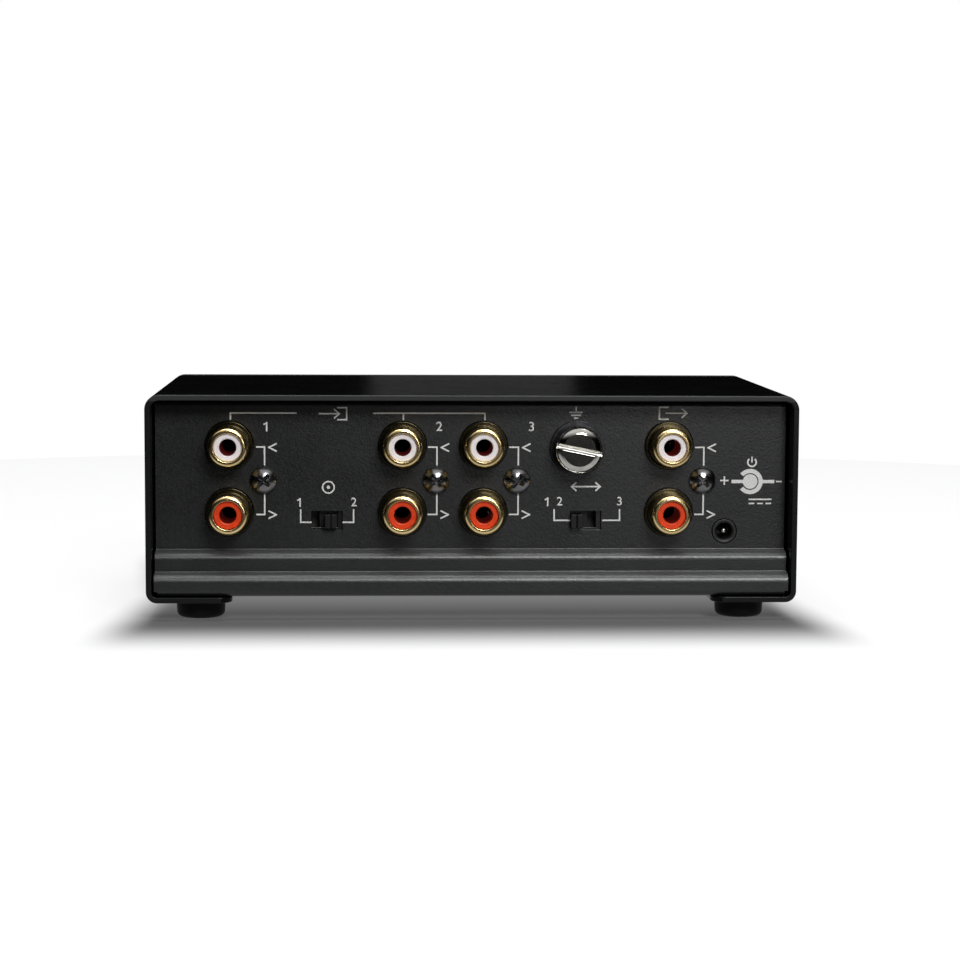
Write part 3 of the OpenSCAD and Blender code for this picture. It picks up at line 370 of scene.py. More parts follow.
def makeLacquer(name):  # resistors with bands across the body
    tree, place = newMaterial(name)
    grain = tree.noise(place, 0.5, 2.0)
    bands = tree.ramp(tree.axes(place)[0].wave(boardParts["bandPitch"]), (0.72, 0.0), (0.78, 1.0))
    tone = tree.mix(bands, (0.07, 0.30, 0.42), (0.14, 0.035, 0.012))
    return tree.surface(tone, 0.28 + 0.14 * grain, grain, 0.01, {"Coat Weight": 0.3})


cloudy = {  # two colours, size, detail and squeeze of the pattern, roughness and its spread, depth, other values
    "laminate": ((0.006, 0.005, 0.004), (0.012, 0.009, 0.007), 0.4, 3.0, (0.2, 3.0, 0.2), 0.5, 0.2, 0.02, {}),
    "resin": ((0.36, 0.020, 0.024), (0.52, 0.045, 0.040), 2.2, 2.0, (1, 1, 1), 0.22, 0.16, 0.08, {"Coat Weight": 0.5}),
    "clear": ((0.86, 0.92, 0.97), (0.93, 0.96, 0.98), 1.2, 2.0, (1, 1, 1), 0.06, 0.08, 0.01,
              {"IOR": 1.49, "Transmission Weight": 0.85}),
}


def makeCloudy(name):
    tree, place = newMaterial(name)
    first, second, cell, detail, squeeze, roughness, spread, depth, others = cloudy[name]
    cloud = tree.noise(tree.stretched(place, *squeeze), cell, detail)
    return tree.surface(tree.mix(cloud, first, second), roughness + spread * cloud, cloud, depth, others)


def makeInk(name):
    tree, place = newMaterial(name)
    grain = tree.noise(place, 0.3, 3.0)
    tone = tree.mottle(grain, 0.3, 0.6, (0.58, 0.58, 0.57), (0.70, 0.70, 0.68))
    return tree.surface(tone, 0.6 + 0.2 * grain, grain, 0.02, {"Specular IOR Level": 0.2})


# the frame in millimetres

def boxOf(node):
    low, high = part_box(node)
    return low / mm, high / mm


def middleOf(node):
    low, high = boxOf(node)
    return (low + high) / 2


# modelling helpers; every piece is modelled in millimetres and settled into metres

def clearSelection():
    if bpy.context.object and bpy.context.object.mode != "OBJECT":
        bpy.ops.object.mode_set(mode="OBJECT")
    bpy.ops.object.select_all(action="DESELECT")


def pick(*pieces):
    clearSelection()
    for piece in pieces:
        piece.select_set(True)
    bpy.context.view_layer.objects.active = pieces[0]


def applyPlace(piece):
    pick(piece)
    bpy.ops.object.transform_apply(location=True, rotation=True, scale=True)
    return piece


def startEdit(piece):
    pick(piece)
    bpy.ops.object.mode_set(mode="EDIT")
    bpy.ops.mesh.select_mode(type="VERT")
    bpy.ops.mesh.select_all(action="DESELECT")


def endEdit():
    bpy.ops.object.mode_set(mode="OBJECT")


def chooseAll():
    bpy.ops.mesh.select_all(action="SELECT")


def choose(kind, test):  # selects the verts, edges or faces of the mesh in edit mode that pass a test
    bpy.ops.mesh.select_mode(type=kind[:-1].upper())
    bpy.ops.mesh.select_all(action="DESELECT")
    data = bpy.context.object.data
    mesh = bmesh.from_edit_mesh(data)
    for part in getattr(mesh, kind):
        part.select_set(test(part))
    bmesh.update_edit_mesh(data)


def addBlock(low, high):
    bpy.ops.mesh.primitive_cube_add(size=1, location=(Vector(low) + Vector(high)) / 2)
    piece = bpy.context.object
    piece.scale = Vector(high) - Vector(low)
    return applyPlace(piece)


def addBar(radius, start, end, vertices=48):  # a round bar between two points
    way = Vector(end) - Vector(start)
    bpy.ops.mesh.primitive_cylinder_add(vertices=vertices, radius=radius, depth=way.length,
                                        location=(Vector(start) + Vector(end)) / 2,
                                        rotation=way.to_track_quat("Z", "Y").to_euler())
    return applyPlace(bpy.context.object)


def useModifier(piece, kind, **settings):
    pick(piece)
    modifier = piece.modifiers.new(kind.title(), kind)
    for name, value in settings.items():
        setattr(modifier, name, value)
    bpy.ops.object.modifier_apply(modifier=modifier.name)


def bevelEdges(piece, width, segments, angle):
    useModifier(piece, "BEVEL", width=width, segments=segments, limit_method="ANGLE", angle_limit=math.radians(angle))


def smoothOver(piece, angle=40):
    pick(piece)
    bpy.ops.object.shade_smooth_by_angle(angle=math.radians(angle))
    useModifier(piece, "WEIGHTED_NORMAL", keep_sharp=True, weight=60)


def joinPieces(pieces):
    pick(*pieces)
    if len(pieces) > 1:
        bpy.ops.object.join()
    return bpy.context.object


def softEdges(piece, width, segments, angle, smooth=40):
    bevelEdges(piece, width, segments, angle)
    smoothOver(piece, smooth)


def cutAway(piece, cutters):
    cutter = joinPieces(cutters)
    useModifier(piece, "BOOLEAN", operation="DIFFERENCE", object=cutter, solver="EXACT", use_self=True)
    bpy.data.objects.remove(cutter)


def startPoint(x, y):  # a mesh of one point, in edit mode
    bpy.ops.mesh.primitive_plane_add(size=1)
    piece = bpy.context.object
    startEdit(piece)
    chooseAll()
    bpy.ops.mesh.merge(type="CENTER")
    bpy.ops.transform.translate(value=(x, y, 0))
    return piece


def extrudeTo(dx, dy):
    bpy.ops.mesh.extrude_region_move(TRANSFORM_OT_translate={"value": (dx, dy, 0)})


def mergeDoubles(distance):
    chooseAll()
    bpy.ops.mesh.remove_doubles(threshold=distance)


def turnOutwards():
    chooseAll()
    bpy.ops.mesh.normals_make_consistent(inside=False)


def spinAll(steps, angle, axis):
    chooseAll()
    bpy.ops.mesh.spin(steps=steps, angle=angle, center=(0, 0, 0), axis=axis)
    mergeDoubles(0.0005)


def spinProfile(profile, steps=64):  # a profile of (radius, along) points, turned round the Y axis
    piece = startPoint(*profile[0])
    for (r0, y0), (r1, y1) in zip(profile, profile[1:]):
        extrudeTo(r1 - r0, y1 - y0)
    spinAll(steps, math.tau, (0, 1, 0))
    turnOutwards()
    choose("verts", lambda vert: math.hypot(vert.co.x, vert.co.z) < 0.001)
    bpy.ops.mesh.dissolve_verts()
    endEdit()
    return piece


def spinTube(low, high, hole):  # a plain ring that fills a box, with its hole along Y
    outer = (high.x - low.x) / 2
    return spinProfile([(hole, low.y), (outer, low.y), (outer, high.y), (hole, high.y), (hole, low.y)], 72)


def moveTo(piece, x, y, z):
    piece.location = (x, y, z)
    return applyPlace(piece)


def fromNode(node, name):  # a merged copy of a CAD node, in millimetres
    clearSelection()
    piece = bpy.data.objects.new(name, nodes[node].data.copy())
    bpy.context.scene.collection.objects.link(piece)
    piece.data.transform(Matrix.Scale(1 / mm, 4))
    startEdit(piece)
    mergeDoubles(0.001)
    chooseAll()
    bpy.ops.mesh.dissolve_limited(angle_limit=math.radians(0.3))
    endEdit()
    pick(piece)
    if piece.data.has_custom_normals:
        bpy.ops.mesh.customdata_custom_splitnormals_clear()
    return piece


def settle(piece, name, *replaced, **others):  # into metres; the rest is for register
    applyPlace(piece)
    piece.data.transform(Matrix.Scale(mm, 4))
    register(piece, name, *replaced, **others)


def settleOnAxis(piece, name, node, paint=None):  # a turned piece, to the axis of the node that it replaces
    at = middleOf(node)
    settle(moveTo(piece, at.x, 0, at.z), name, node, paint=paint)


def register(piece, name, *replaced, paint=None, body=None, slot=None):  # gives it the finish of its slot and its body
    slot = slot or slotOfNode[replaced[0]]
    piece.name = name
    piece.data.name = name
    piece.data.materials.clear()
    piece.data.materials.append(paint or slotFinish[slot])
    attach(piece, body or bodyOfNode[replaced[0]])
    if replaced:
        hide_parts(*replaced)


def twinOf(piece):
    twin = piece.copy()
    twin.data = piece.data.copy()
    bpy.context.scene.collection.objects.link(twin)
    return twin


def copyFor(piece, fromNodeName, node, name, paint=None):  # the same piece at another node's place
    twin = twinOf(piece)
    twin.parent = None
    twin.matrix_world = Matrix.Identity(4)
    twin.data.transform(Matrix.Translation(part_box(node)[0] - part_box(fromNodeName)[0]))
    register(twin, name, node, paint=paint)


def softenNode(node, name, edge, bevelAngle, smoothAngle=40, paint=None):  # a CAD node with its edges rounded
    piece = fromNode(node, name)
    softEdges(piece, edge, 2, bevelAngle, smoothAngle)
    settle(piece, name, node, paint=paint)


# camera

cameraSetup = {
    "place": (22.298, 539.925, 79.908), "yaw": 0.047, "pitch": 0.100, "roll": 0.005,
    "lens": 91.875, "sensor": 36.0,
}


def addCamera():
    turn = (Matrix.Rotation(math.pi - cameraSetup["yaw"], 4, "Z")
            @ Matrix.Rotation(math.pi / 2 - cameraSetup["pitch"], 4, "X")
            @ Matrix.Rotation(cameraSetup["roll"], 4, "Z"))
    bpy.ops.object.camera_add()
    camera = bpy.context.object
    camera.matrix_world = Matrix.Translation(Vector(cameraSetup["place"]) * mm) @ turn
    camera.data.lens = cameraSetup["lens"]
    camera.data.sensor_width = cameraSetup["sensor"]
    camera.data.clip_start = 0.01
    bpy.context.scene.camera = camera


clearSelection()
addCamera()
print("camera placed")


# light and floor

lamps = {  # in metres: place, height of the point on the case's axis that it faces, size; then its power
    "top": ((0.0, -0.16, 0.60), 0.03, (0.30, 0.30), 3.0),
    "high": ((0.0, 0.13, 0.60), 0.03, (0.50, 0.10), 1.35),
    "front": ((-0.15, 0.66, 0.44), 0.03, (0.30, 0.26), 4.6),
    "level": ((-0.13, 0.56, 0.075), 0.03, (0.10, 0.06), 0.16),
    "back": ((-0.036, -0.80, 0.096), 0.047, (0.11, 0.08), 0.0029),
    "left": ((0.66, -0.20, 0.30), 0.02, (0.34, 0.30), 0.9),
    "right": ((-0.66, -0.20, 0.30), 0.02, (0.34, 0.30), 0.9),
}


def addLamp(name):
    place, aim, size, power = lamps[name]
    data = bpy.data.lights.new(name, "AREA")
    data.shape = "RECTANGLE"
    data.size, data.size_y = size
    data.energy = power
    light = bpy.data.objects.new(name, data)
    bpy.context.scene.collection.objects.link(light)
    light.location = place
    light.visible_camera = False
    light.rotation_euler = (Vector((0, 0, aim)) - Vector(place)).to_track_quat("-Z", "Y").to_euler()


worldLook = {"ambient": 0.045, "horizon": 0.0, "zenith": 0.9, "skyFrom": 0.45, "skyTo": 0.88}


def makeWorld():  # white for the camera; dark low down and bright overhead for glossy rays
    world = bpy.data.worlds.new("softStudio")
    bpy.context.scene.world = world
    tree = Tree(world)
    height = tree.axes(tree.add("ShaderNodeTexCoord", out="Generated"))[2]
    seen = tree.ray("Camera")
    glossy = tree.ray("Glossy")
    through = tree.ray("Transmission")
    sky = tree.fade(height, worldLook["skyFrom"], worldLook["skyTo"], worldLook["horizon"], worldLook["zenith"])
    shown = glossy.most(through)
    strength = seen + (1 - seen) * (shown * sky + (1 - shown) * worldLook["ambient"])
    background = tree.add("ShaderNodeBackground", {}, {"Color": (1, 1, 1), "Strength": strength})
    tree.add("ShaderNodeOutputWorld", {}, {"Surface": background})


floorLook = {
    "radius": 0.36, "colour": (0.15, 0.15, 0.1515), "paintedDarkReflection": (0.02, 0.02, 0.02),
    "glow": 0.79, "glowNear": 0.004, "glowFar": 0.040, "sideSpread": 0.11, "sideSoft": 0.0065,
    "glowUnder": 0.19, "underReach": 0.033, "mirrorNear": 0.015, "mirrorFar": 0.075, "paintedReflectionGlow": 0.42,
}


def makeFloor():  # a painted shadow: the camera sees it glow away from the case and fade near it; mirror images see a painted reflection, bright near the case and dark far off
    bpy.ops.mesh.primitive_circle_add(vertices=96, radius=floorLook["radius"], fill_type="NGON")
    floor = bpy.context.object
    floor.name = "floor"
    tree, place = newMaterial("paleFloor")
    corner = cadBox[1]
    x, y = [axis.size() for axis in tree.axes(place)[:2]]
    across = (x - corner[0]).most(0)
    along = (y - corner[1]).most(0)
    away = (across * across + along * along).power(0.5)
    edge = x - y * floorLook["sideSpread"]
    beside = tree.fade(edge, corner[0] - floorLook["sideSoft"], corner[0] + floorLook["sideSoft"])
    before = tree.fade(along, floorLook["glowNear"], floorLook["glowFar"])
    # painted shadow: the glow fades beside and before the case, and comes back a little under it
    clear = (1 - (1 - beside) * (1 - before)) * floorLook["glow"]
    under = tree.add("ShaderNodeMapRange", {}, {
        "Value": corner[1] - y, "From Max": floorLook["underReach"]}).power(0.7)
    under = under * (1 - beside) * floorLook["glowUnder"]
    # painted reflection: glossy rays see the floor glow near the case and darken far from it
    far = tree.fade(away, floorLook["mirrorNear"], floorLook["mirrorFar"])
    seen = tree.ray("Camera")
    through = tree.ray("Transmission")
    glossy = tree.ray("Glossy")
    matt = tree.add("ShaderNodeBsdfDiffuse", {}, {
        "Color": tree.mix(glossy * far, floorLook["colour"], floorLook["paintedDarkReflection"])})
    glow = tree.add("ShaderNodeEmission", {}, {
        "Color": (1, 1, 1),
        "Strength": seen.most(through) * (clear + under) + glossy * (1 - far) * floorLook["paintedReflectionGlow"]})
    both = tree.add("ShaderNodeAddShader", {}, {0: matt, 1: glow})
    tree.add("ShaderNodeOutputMaterial", {}, {"Surface": both})
    floor.data.materials.append(tree.owner)


clearSelection()
makeWorld()
makeFloor()
for name in lamps:
    addLamp(name)
bpy.context.scene.view_settings.view_transform = "Standard"
print("light and floor placed")


# finishes of the frame; a few pieces bring their own

insulatorFace = boxOf("coil_left_insulator")[1].y
caseFoot = boxOf("cover")[0].z
metal = {name: makeMetal(name) for name in metals}
slotFinish = {
    "case_paint": makePowderCoat("trayCoat", trayLook, ledges=[caseFoot + rise for rise in powderCoat["ledgeHeights"]]),
    "fascia_anodised": makeAnodised("fasciaCoat"), "clear_plastic": makeCloudy("clear"), "zinc_steel": metal["zinc"],
    "socket_plastic": makePlastic("blackPlastic"), "gilt": metal["gilt"], "rubber": makeRubber("rubber"),
    "white_plastic": makeInsulator("whiteRing", insulatorFace), "red_plastic": makeInsulator("redRing", insulatorFace),
    "dark_screw_steel": metal["darkNickel"], "terminal_nickel": metal["nickel"], "tinned_steel": metal["tin"],
    "switch_laminate": makeCloudy("laminate"), "knob_plastic": makePlastic("knobPlastic"),
    "board_laminate": makeBoard("boardGreen"), "film_resin": makeCloudy("resin"),
    "capacitor_sleeve": makeSleeve("sleeve", boxOf("electrolytic_capacitors")[1].z),
    "chip_epoxy": makeChip("chip", boxOf("circuit_board")[1].z), "resistor_lacquer": makeLacquer("lacquer"),
}
for node, part in nodes.items():
    part.data.materials.clear()
    part.data.materials.append(slotFinish[slotOfNode[node]])
print("finishes given to", len(nodes), "nodes")


# cover: one sheet bent round the top and the sides

caseCorners = {"top": 3.0, "low": 2.3, "steps": 10}
coverSheet = {"sheet": 1.2, "flangeWidth": 17.7, "flangeCorner": 3.0, "edge": 0.28, "screwHole": 1.65}


def addCaseBlock(low, high):  # its long edges are rounded, and it stays in edit mode
    piece = addBlock(low, high)
    startEdit(piece)
    for level, radius in ((high.z, caseCorners["top"]), (low.z, caseCorners["low"])):
        choose("edges", lambda edge: all(abs(v.co.z - level) < 0.01 for v in edge.verts)
               and abs(edge.verts[0].co.x - edge.verts[1].co.x) < 0.01)
        bpy.ops.mesh.bevel(offset=radius, offset_type="OFFSET", segments=caseCorners["steps"], affect="EDGES")
    return piece


def buildCover():
    low, high = boxOf("cover")
    tip = high.x - coverSheet["flangeWidth"]
    piece = addCaseBlock(low, high)
    choose("faces", lambda face: abs(face.normal.y) > 0.9)
    bpy.ops.mesh.delete(type="FACE")
    for side in (-1, 1):
        choose("faces", lambda face: face.normal.z < -0.999)
        bpy.ops.mesh.bisect(plane_co=(side * tip, 0, 0), plane_no=(1, 0, 0))
    choose("faces", lambda face: face.normal.z < -0.999 and abs(face.calc_center_median().x) < tip)
    bpy.ops.mesh.delete(type="FACE")
    choose("verts", lambda vert: abs(abs(vert.co.x) - tip) < 0.01 and abs(vert.co.z - low.z) < 0.01)
    bpy.ops.mesh.bevel(offset=coverSheet["flangeCorner"], segments=8, affect="VERTICES")
    endEdit()
    useModifier(piece, "SOLIDIFY", thickness=coverSheet["sheet"], offset=-1, use_even_offset=True)
    feet = [middleOf(node) for node in footNodes]
    cutAway(piece, [addBar(coverSheet["screwHole"], (at.x, at.y, low.z - 1), (at.x, at.y, low.z + 3), 32)
                    for at in feet])
    softEdges(piece, coverSheet["edge"], 3, 50)
    # the cover's coat, with painted shade in its dark tone and painted light on its rim
    coat = makePowderCoat("coverCoat", coverLook, rim=high)
    settle(piece, "coverSheet", "cover", paint=coat)


buildCover()
print("cover modelled")


# tray: floor and rear panel in one bent sheet

traySheet = {"sheet": 1.0, "edge": 0.12}

softenNode("tray", "traySheet", traySheet["edge"], 40, 35)
print("tray modelled")


# fascia

fasciaPlate = {"faceRadius": 0.8, "pipeHole": 1.55, "edge": 0.15}
pipeShape = {"flange": 0.8, "dome": ((0.5, 0.08), (0.12, 0.3), (0, 0.6)), "edge": 0.08}


def buildFascia():
    low, high = boxOf("fascia")
    pipe = middleOf("light_pipe")
    piece = addCaseBlock(low, high)
    choose("edges", lambda edge: all(abs(v.co.y - low.y) < 0.01 for v in edge.verts))
    bpy.ops.mesh.bevel(offset=fasciaPlate["faceRadius"], offset_type="OFFSET", segments=5, affect="EDGES")
    endEdit()
    cutAway(piece, [addBar(fasciaPlate["pipeHole"], (pipe.x, low.y - 1, pipe.z), (pipe.x, high.y + 1, pipe.z))])
    softEdges(piece, fasciaPlate["edge"], 2, 50)
    settle(piece, "fasciaPlate", "fascia")


def buildLightPipe():
    low, high = boxOf("light_pipe")
    outer = (high.z - low.z) / 2
    radius = outer - pipeShape["flange"]
    seat = high.y - pipeShape["flange"]
    dome = [(radius - inset, low.y + rise) for inset, rise in pipeShape["dome"]]
    piece = spinProfile([(0, low.y)] + dome + [(radius, seat), (outer, seat), (outer, high.y), (0, high.y)], 48)
    softEdges(piece, pipeShape["edge"], 2, 50)
    settleOnAxis(piece, "lightPipe", "light_pipe")


buildFascia()
buildLightPipe()
print("front modelled")


# phono sockets

shellShape = {"wall": 1.1, "tail": 3.0, "collar": 1.8, "collarStep": 0.9, "lip": 0.8, "lipSteps": 10, "edge": 0.12}
insulatorShape = {"hole": 1.75, "edge": 0.28}
panelFace = boxOf("coil_left_shell")[0].y + shellShape["tail"] + traySheet["sheet"]


def finishSockets(piece, part, paint=None):  # the piece goes to the first socket, and a copy to each of the others
    first = f"coil_left_{part}"
    settleOnAxis(piece, part + "CoilLeft", first, paint)
    for jack in jacks:
        for side in sides:
            node = f"{jack}_{side}_{part}"
            if node != first:
                copyFor(piece, first, node, part + jack.title() + side.title(), paint)


def buildShells():
    low, high = boxOf("coil_left_shell")
    outer = (high.x - low.x) / 2
    barrel = outer - shellShape["collarStep"]
    bore = barrel - shellShape["wall"]
    root = low.y + shellShape["tail"]
    collar = root + shellShape["collar"]
    lip = shellShape["lip"]
    turns = [math.radians(90 * k / shellShape["lipSteps"]) for k in range(shellShape["lipSteps"] + 1)]
    rounding = [(barrel - lip * (1 - math.cos(turn)), high.y - lip * (1 - math.sin(turn))) for turn in turns]
    foot = [(bore, low.y), (barrel, low.y), (barrel, root), (outer, root), (outer, collar), (barrel, collar)]
    piece = spinProfile(foot + rounding + [(bore, high.y), (bore, low.y)], 72)
    softEdges(piece, shellShape["edge"], 3, 20)
    finishSockets(piece, "shell", makeShellGilt("shellGilt", low, high))


def buildInsulators():
    low, high = boxOf("coil_left_insulator")
    piece = spinTube(low, high, insulatorShape["hole"])
    softEdges(piece, insulatorShape["edge"], 3, 40)
    finishSockets(piece, "insulator")


buildShells()
buildInsulators()
print("sockets modelled")


# cross-recess screws

screwShape = {
    "rimPart": 0.36, "rimEdge": 0.12, "recessDepth": 1.2, "wing": 0.78, "wingWidth": 0.92, "wingTip": (0.42, 0.45),
    "core": 0.72, "coreTip": (0.45, 0.45), "edge": 0.08,
}
jackScrew = {"shankRadius": 1.4, "beside": 7.1, "turns": (4, -8, 12, -3)}
footScrew = {"headRadius": 2.5, "headHeight": 1.6, "shankRadius": 1.45, "turns": (20, -15, 5, 40)}


def addTaper(reach, half, top, tip):  # a block that narrows towards the bottom of the recess
    bottom = top - screwShape["recessDepth"]
    piece = addBlock((-reach, bottom, -half), (reach, top + 0.05, half))
    startEdit(piece)
    choose("verts", lambda vert: vert.co.y < top)
    bpy.ops.transform.resize(value=(tip[0], 1, tip[1]), center_override=(0, bottom, 0))
    endEdit()
    return piece


def crossCutter(headRadius, top):  # four tapered wings round a square core
    wings = []
    for turn in (45, 135):
        wing = addTaper(screwShape["wing"] * headRadius, screwShape["wingWidth"] / 2, top, screwShape["wingTip"])
        wing.rotation_euler = (0, math.radians(turn), 0)
        wings.append(applyPlace(wing))
    return wings + [addTaper(screwShape["core"], screwShape["core"], top, screwShape["coreTip"])]


def buildScrew(headRadius, headHeight, shankRadius, shankLength):  # along Y, its seat at the origin
    rim = headHeight * screwShape["rimPart"]
    dome = headHeight - rim
    ball = (headRadius ** 2 + dome ** 2) / (2 * dome)
    rise = math.asin(headRadius / ball)
    arc = [(ball * math.sin(rise * k / 10), headHeight - ball * (1 - math.cos(rise * k / 10))) for k in range(11)]
    profile = arc + [(headRadius, 0.0), (shankRadius, 0.0), (shankRadius, -shankLength), (0.0, -shankLength)]
    piece = spinProfile(profile)
    bevelEdges(piece, screwShape["rimEdge"], 3, 40)
    cutAway(piece, crossCutter(headRadius, headHeight))
    softEdges(piece, screwShape["edge"], 2, 38, 30)
    return piece


def copyScrews(first, turns, places):  # a copy at each place; the first one was the pattern
    heads = []
    for turn, place in zip(turns, places):
        twin = twinOf(first)
        twin.rotation_euler = [math.radians(part) for part in turn]
        heads.append(moveTo(twin, *place))
    bpy.data.objects.remove(first)
    return joinPieces(heads)


def buildJackScrews():
    low, high = boxOf("jack_screws")
    middle = (low.z + high.z) / 2
    first = buildScrew((high.z - low.z) / 2, high.y - panelFace, jackScrew["shankRadius"], panelFace - low.y)
    places = [(middleOf(f"{jack}_left_shell").x - jackScrew["beside"], panelFace, middle) for jack in jacks]
    piece = copyScrews(first, [(0, turn, 0) for turn in jackScrew["turns"]], places)
    settle(piece, "jackScrews", "jack_screws")


def buildFootScrews():
    low, high = boxOf("foot_screws")
    seat = low.z + footScrew["headHeight"]
    first = buildScrew(footScrew["headRadius"], footScrew["headHeight"], footScrew["shankRadius"], high.z - seat)
    places = [(middleOf(node).x, middleOf(node).y, seat) for node in footNodes]
    piece = copyScrews(first, [(-90, 0, turn) for turn in footScrew["turns"]], places)
    settle(piece, "footScrews", "foot_screws")


buildJackScrews()
buildFootScrews()
print("screws modelled")


# feet

footShape = {"wellRadius": 2.8, "wellDepth": 2.2, "screwHole": 1.46, "taper": 0.15, "rounding": 1.1, "edge": 0.15}


def buildFeet():
    first = footNodes[0]
    low, high = boxOf(first)
    at = middleOf(first)
    top = (high.x - low.x) / 2
    foot = top - footShape["taper"]
    well = low.z + footShape["wellDepth"]
    rounding = footShape["rounding"]
    hole = footShape["screwHole"]
    turns = [math.radians(turn) for turn in range(0, 91, 10)]
    arc = [(foot - rounding + rounding * math.sin(turn), low.z + rounding * (1 - math.cos(turn))) for turn in turns]
    inner = [(hole, well), (footShape["wellRadius"], well), (footShape["wellRadius"], low.z)]
    piece = spinProfile(inner + arc + [(top, high.z), (hole, high.z), (hole, well)])
    softEdges(piece, footShape["edge"], 2, 40)
    piece.rotation_euler = (math.radians(90), 0, 0)
    settle(moveTo(piece, at.x, at.y, 0), "footRearLeft", first)
    for node in footNodes[1:]:
        copyFor(piece, first, node, "foot" + node[4:].title().replace("_", ""))


buildFeet()
print("feet modelled")


# ground terminal

thumbShape = {
    "headLength": 5.4, "bevelHeight": 0.6, "chamfer": 0.22, "rimRing": 0.22, "boss": 0.42, "grooveDepth": 0.5,
    "bevel": ((0.30, 38), (0.35, 30), (0.38, 22)), "knurls": 40, "slotWidth": 1.15, "slotDepth": 1.1, "tilt": -11.6,
    "threadRadius": 1.95, "threadDepth": 0.3, "lead": 0.3, "tuck": 0.3, "pitch": 0.7, "edge": 0.05,
}
washerShape = {"play": 0.01, "edge": 0.1}


def thumbProfile(radius, seat, rim):  # the head's, and the height of its face
    chamfer = thumbShape["chamfer"]
    edge = thumbShape["edge"]
    ring = radius - thumbShape["rimRing"]
    boss = radius - thumbShape["boss"]
    floor = rim - thumbShape["grooveDepth"]
    profile = [
        (0, seat), (radius - chamfer, seat), (radius, seat + chamfer), (radius, rim - 2 * chamfer),
        (radius, rim - 2 * edge), (radius - 2 * edge, rim), (ring + edge, rim), (ring, rim - edge), (ring, floor),
        (boss, floor), (boss, rim - edge)]
    r, y = boss, rim - edge
    for width, slope in thumbShape["bevel"]:  # the bevel is a little round
        r -= width
        y += width * math.tan(math.radians(slope))
        profile.append((r, y))
    return profile + [(0, y)], y


def buildThumbScrew():
    low, high = boxOf("ground_screw")
    radius = (high.x - low.x) / 2
    seat = high.y - thumbShape["headLength"]
    rim = high.y - thumbShape["bevelHeight"]
    chamfer = thumbShape["chamfer"]
    profile, face = thumbProfile(radius, seat, rim)
    piece = spinProfile(profile, 4 * thumbShape["knurls"])
    startEdit(piece)
    pitch = math.tau / thumbShape["knurls"]
    choose("verts", lambda vert: math.hypot(vert.co.x, vert.co.z) > radius - 0.01 and vert.co.y < rim - 1.5 * chamfer
           and abs((math.atan2(vert.co.z, vert.co.x) / pitch + 0.5) % 1 - 0.5) < 0.05)
    shrink = 1 - chamfer / radius
    bpy.ops.transform.resize(value=(shrink, 1, shrink), center_override=(0, 0, 0))
    endEdit()
    half = thumbShape["slotWidth"] / 2
    middle = face - thumbShape["slotDepth"] + half  # the slot's floor is round
    cutters = [addBlock((-radius - 1, middle, -half), (radius + 1, face + 1, half)),
               addBar(half, (-radius - 1, middle, 0), (radius + 1, middle, 0), 32)]
    for cutter in cutters:
        cutter.rotation_euler = (0, math.radians(thumbShape["tilt"]), 0)
        applyPlace(cutter)
    cutAway(piece, cutters)
    startEdit(piece)
    choose("edges", lambda edge: edge.calc_length() > radius
           and all(abs(vert.co.y - face) < 0.01 for vert in edge.verts))
    bpy.ops.mesh.bevel(offset=thumbShape["edge"], segments=2, affect="EDGES")
    endEdit()
    piece = joinPieces([piece, buildThread(low.y, seat + thumbShape["tuck"])])
    smoothOver(piece, 20)
    settleOnAxis(piece, "thumbScrew", "ground_screw", makeTurned("turned", middleOf("ground_screw"), high.y))


def buildThread(start, end):  # a row of ridges stands for the thread
    pitch = thumbShape["pitch"]
    lead = thumbShape["lead"]
    radius = thumbShape["threadRadius"]
    core = radius - thumbShape["threadDepth"]
    profile = [(0, start), (core - 0.05, start), (core, start + 0.2)]
    for k in range(int((end - start - 2 * lead) / pitch)):
        foot = start + lead + k * pitch
        profile += [(core, foot), (radius, foot + pitch * 0.4), (radius, foot + pitch * 0.55)]
    return spinProfile(profile + [(core, end - 0.2), (core, end), (0, end)], 40)


def buildWasher():
    low, high = boxOf("ground_washer")
    piece = spinTube(low, high, thumbShape["threadRadius"] + washerShape["play"])
    softEdges(piece, washerShape["edge"], 3, 40)
    settleOnAxis(piece, "groundWasher", "ground_washer", metal["shadedWasherNickel"])


buildThumbScrew()
buildWasher()
print("ground terminal modelled")


# slide switches and power inlet

knobShape = {"plate": 0.9, "plateEdge": 0.12, "overlap": 0.1, "edge": 0.16, "groove": 0.25, "grooveDepth": 0.3}
frameEdge = 0.1  # of the switch frames and of the inlet
switches = ["cartridge", "input"]


def stemOf(node):  # the part of a knob that stands out of its window
    reach = [vert.co / mm for vert in nodes[node].data.vertices if vert.co.y / mm > panelFace + 0.1]
    return [Vector([end(vert[k] for vert in reach) for k in range(3)]) for end in (min, max)]


def buildKnob(node, name):
    low, high = boxOf(node)
    stemLow, stemHigh = stemOf(node)
    face = low.y + knobShape["plate"]
    plate = addBlock(low, (high.x, face, high.z))
    bevelEdges(plate, knobShape["plateEdge"], 2, 50)
    stem = addBlock((stemLow.x, face - knobShape["overlap"], stemLow.z), (stemHigh.x, high.y, stemHigh.z))
    middle = (stemLow.x + stemHigh.x) / 2
    half = knobShape["groove"] / 2
    cutAway(stem, [addBlock((middle - half, high.y - knobShape["grooveDepth"], stemLow.z - 1),
                            (middle + half, high.y + 1, stemHigh.z + 1))])
    bevelEdges(stem, knobShape["edge"], 3, 50)
    piece = joinPieces([stem, plate])
    smoothOver(piece)
    settle(piece, name, node)


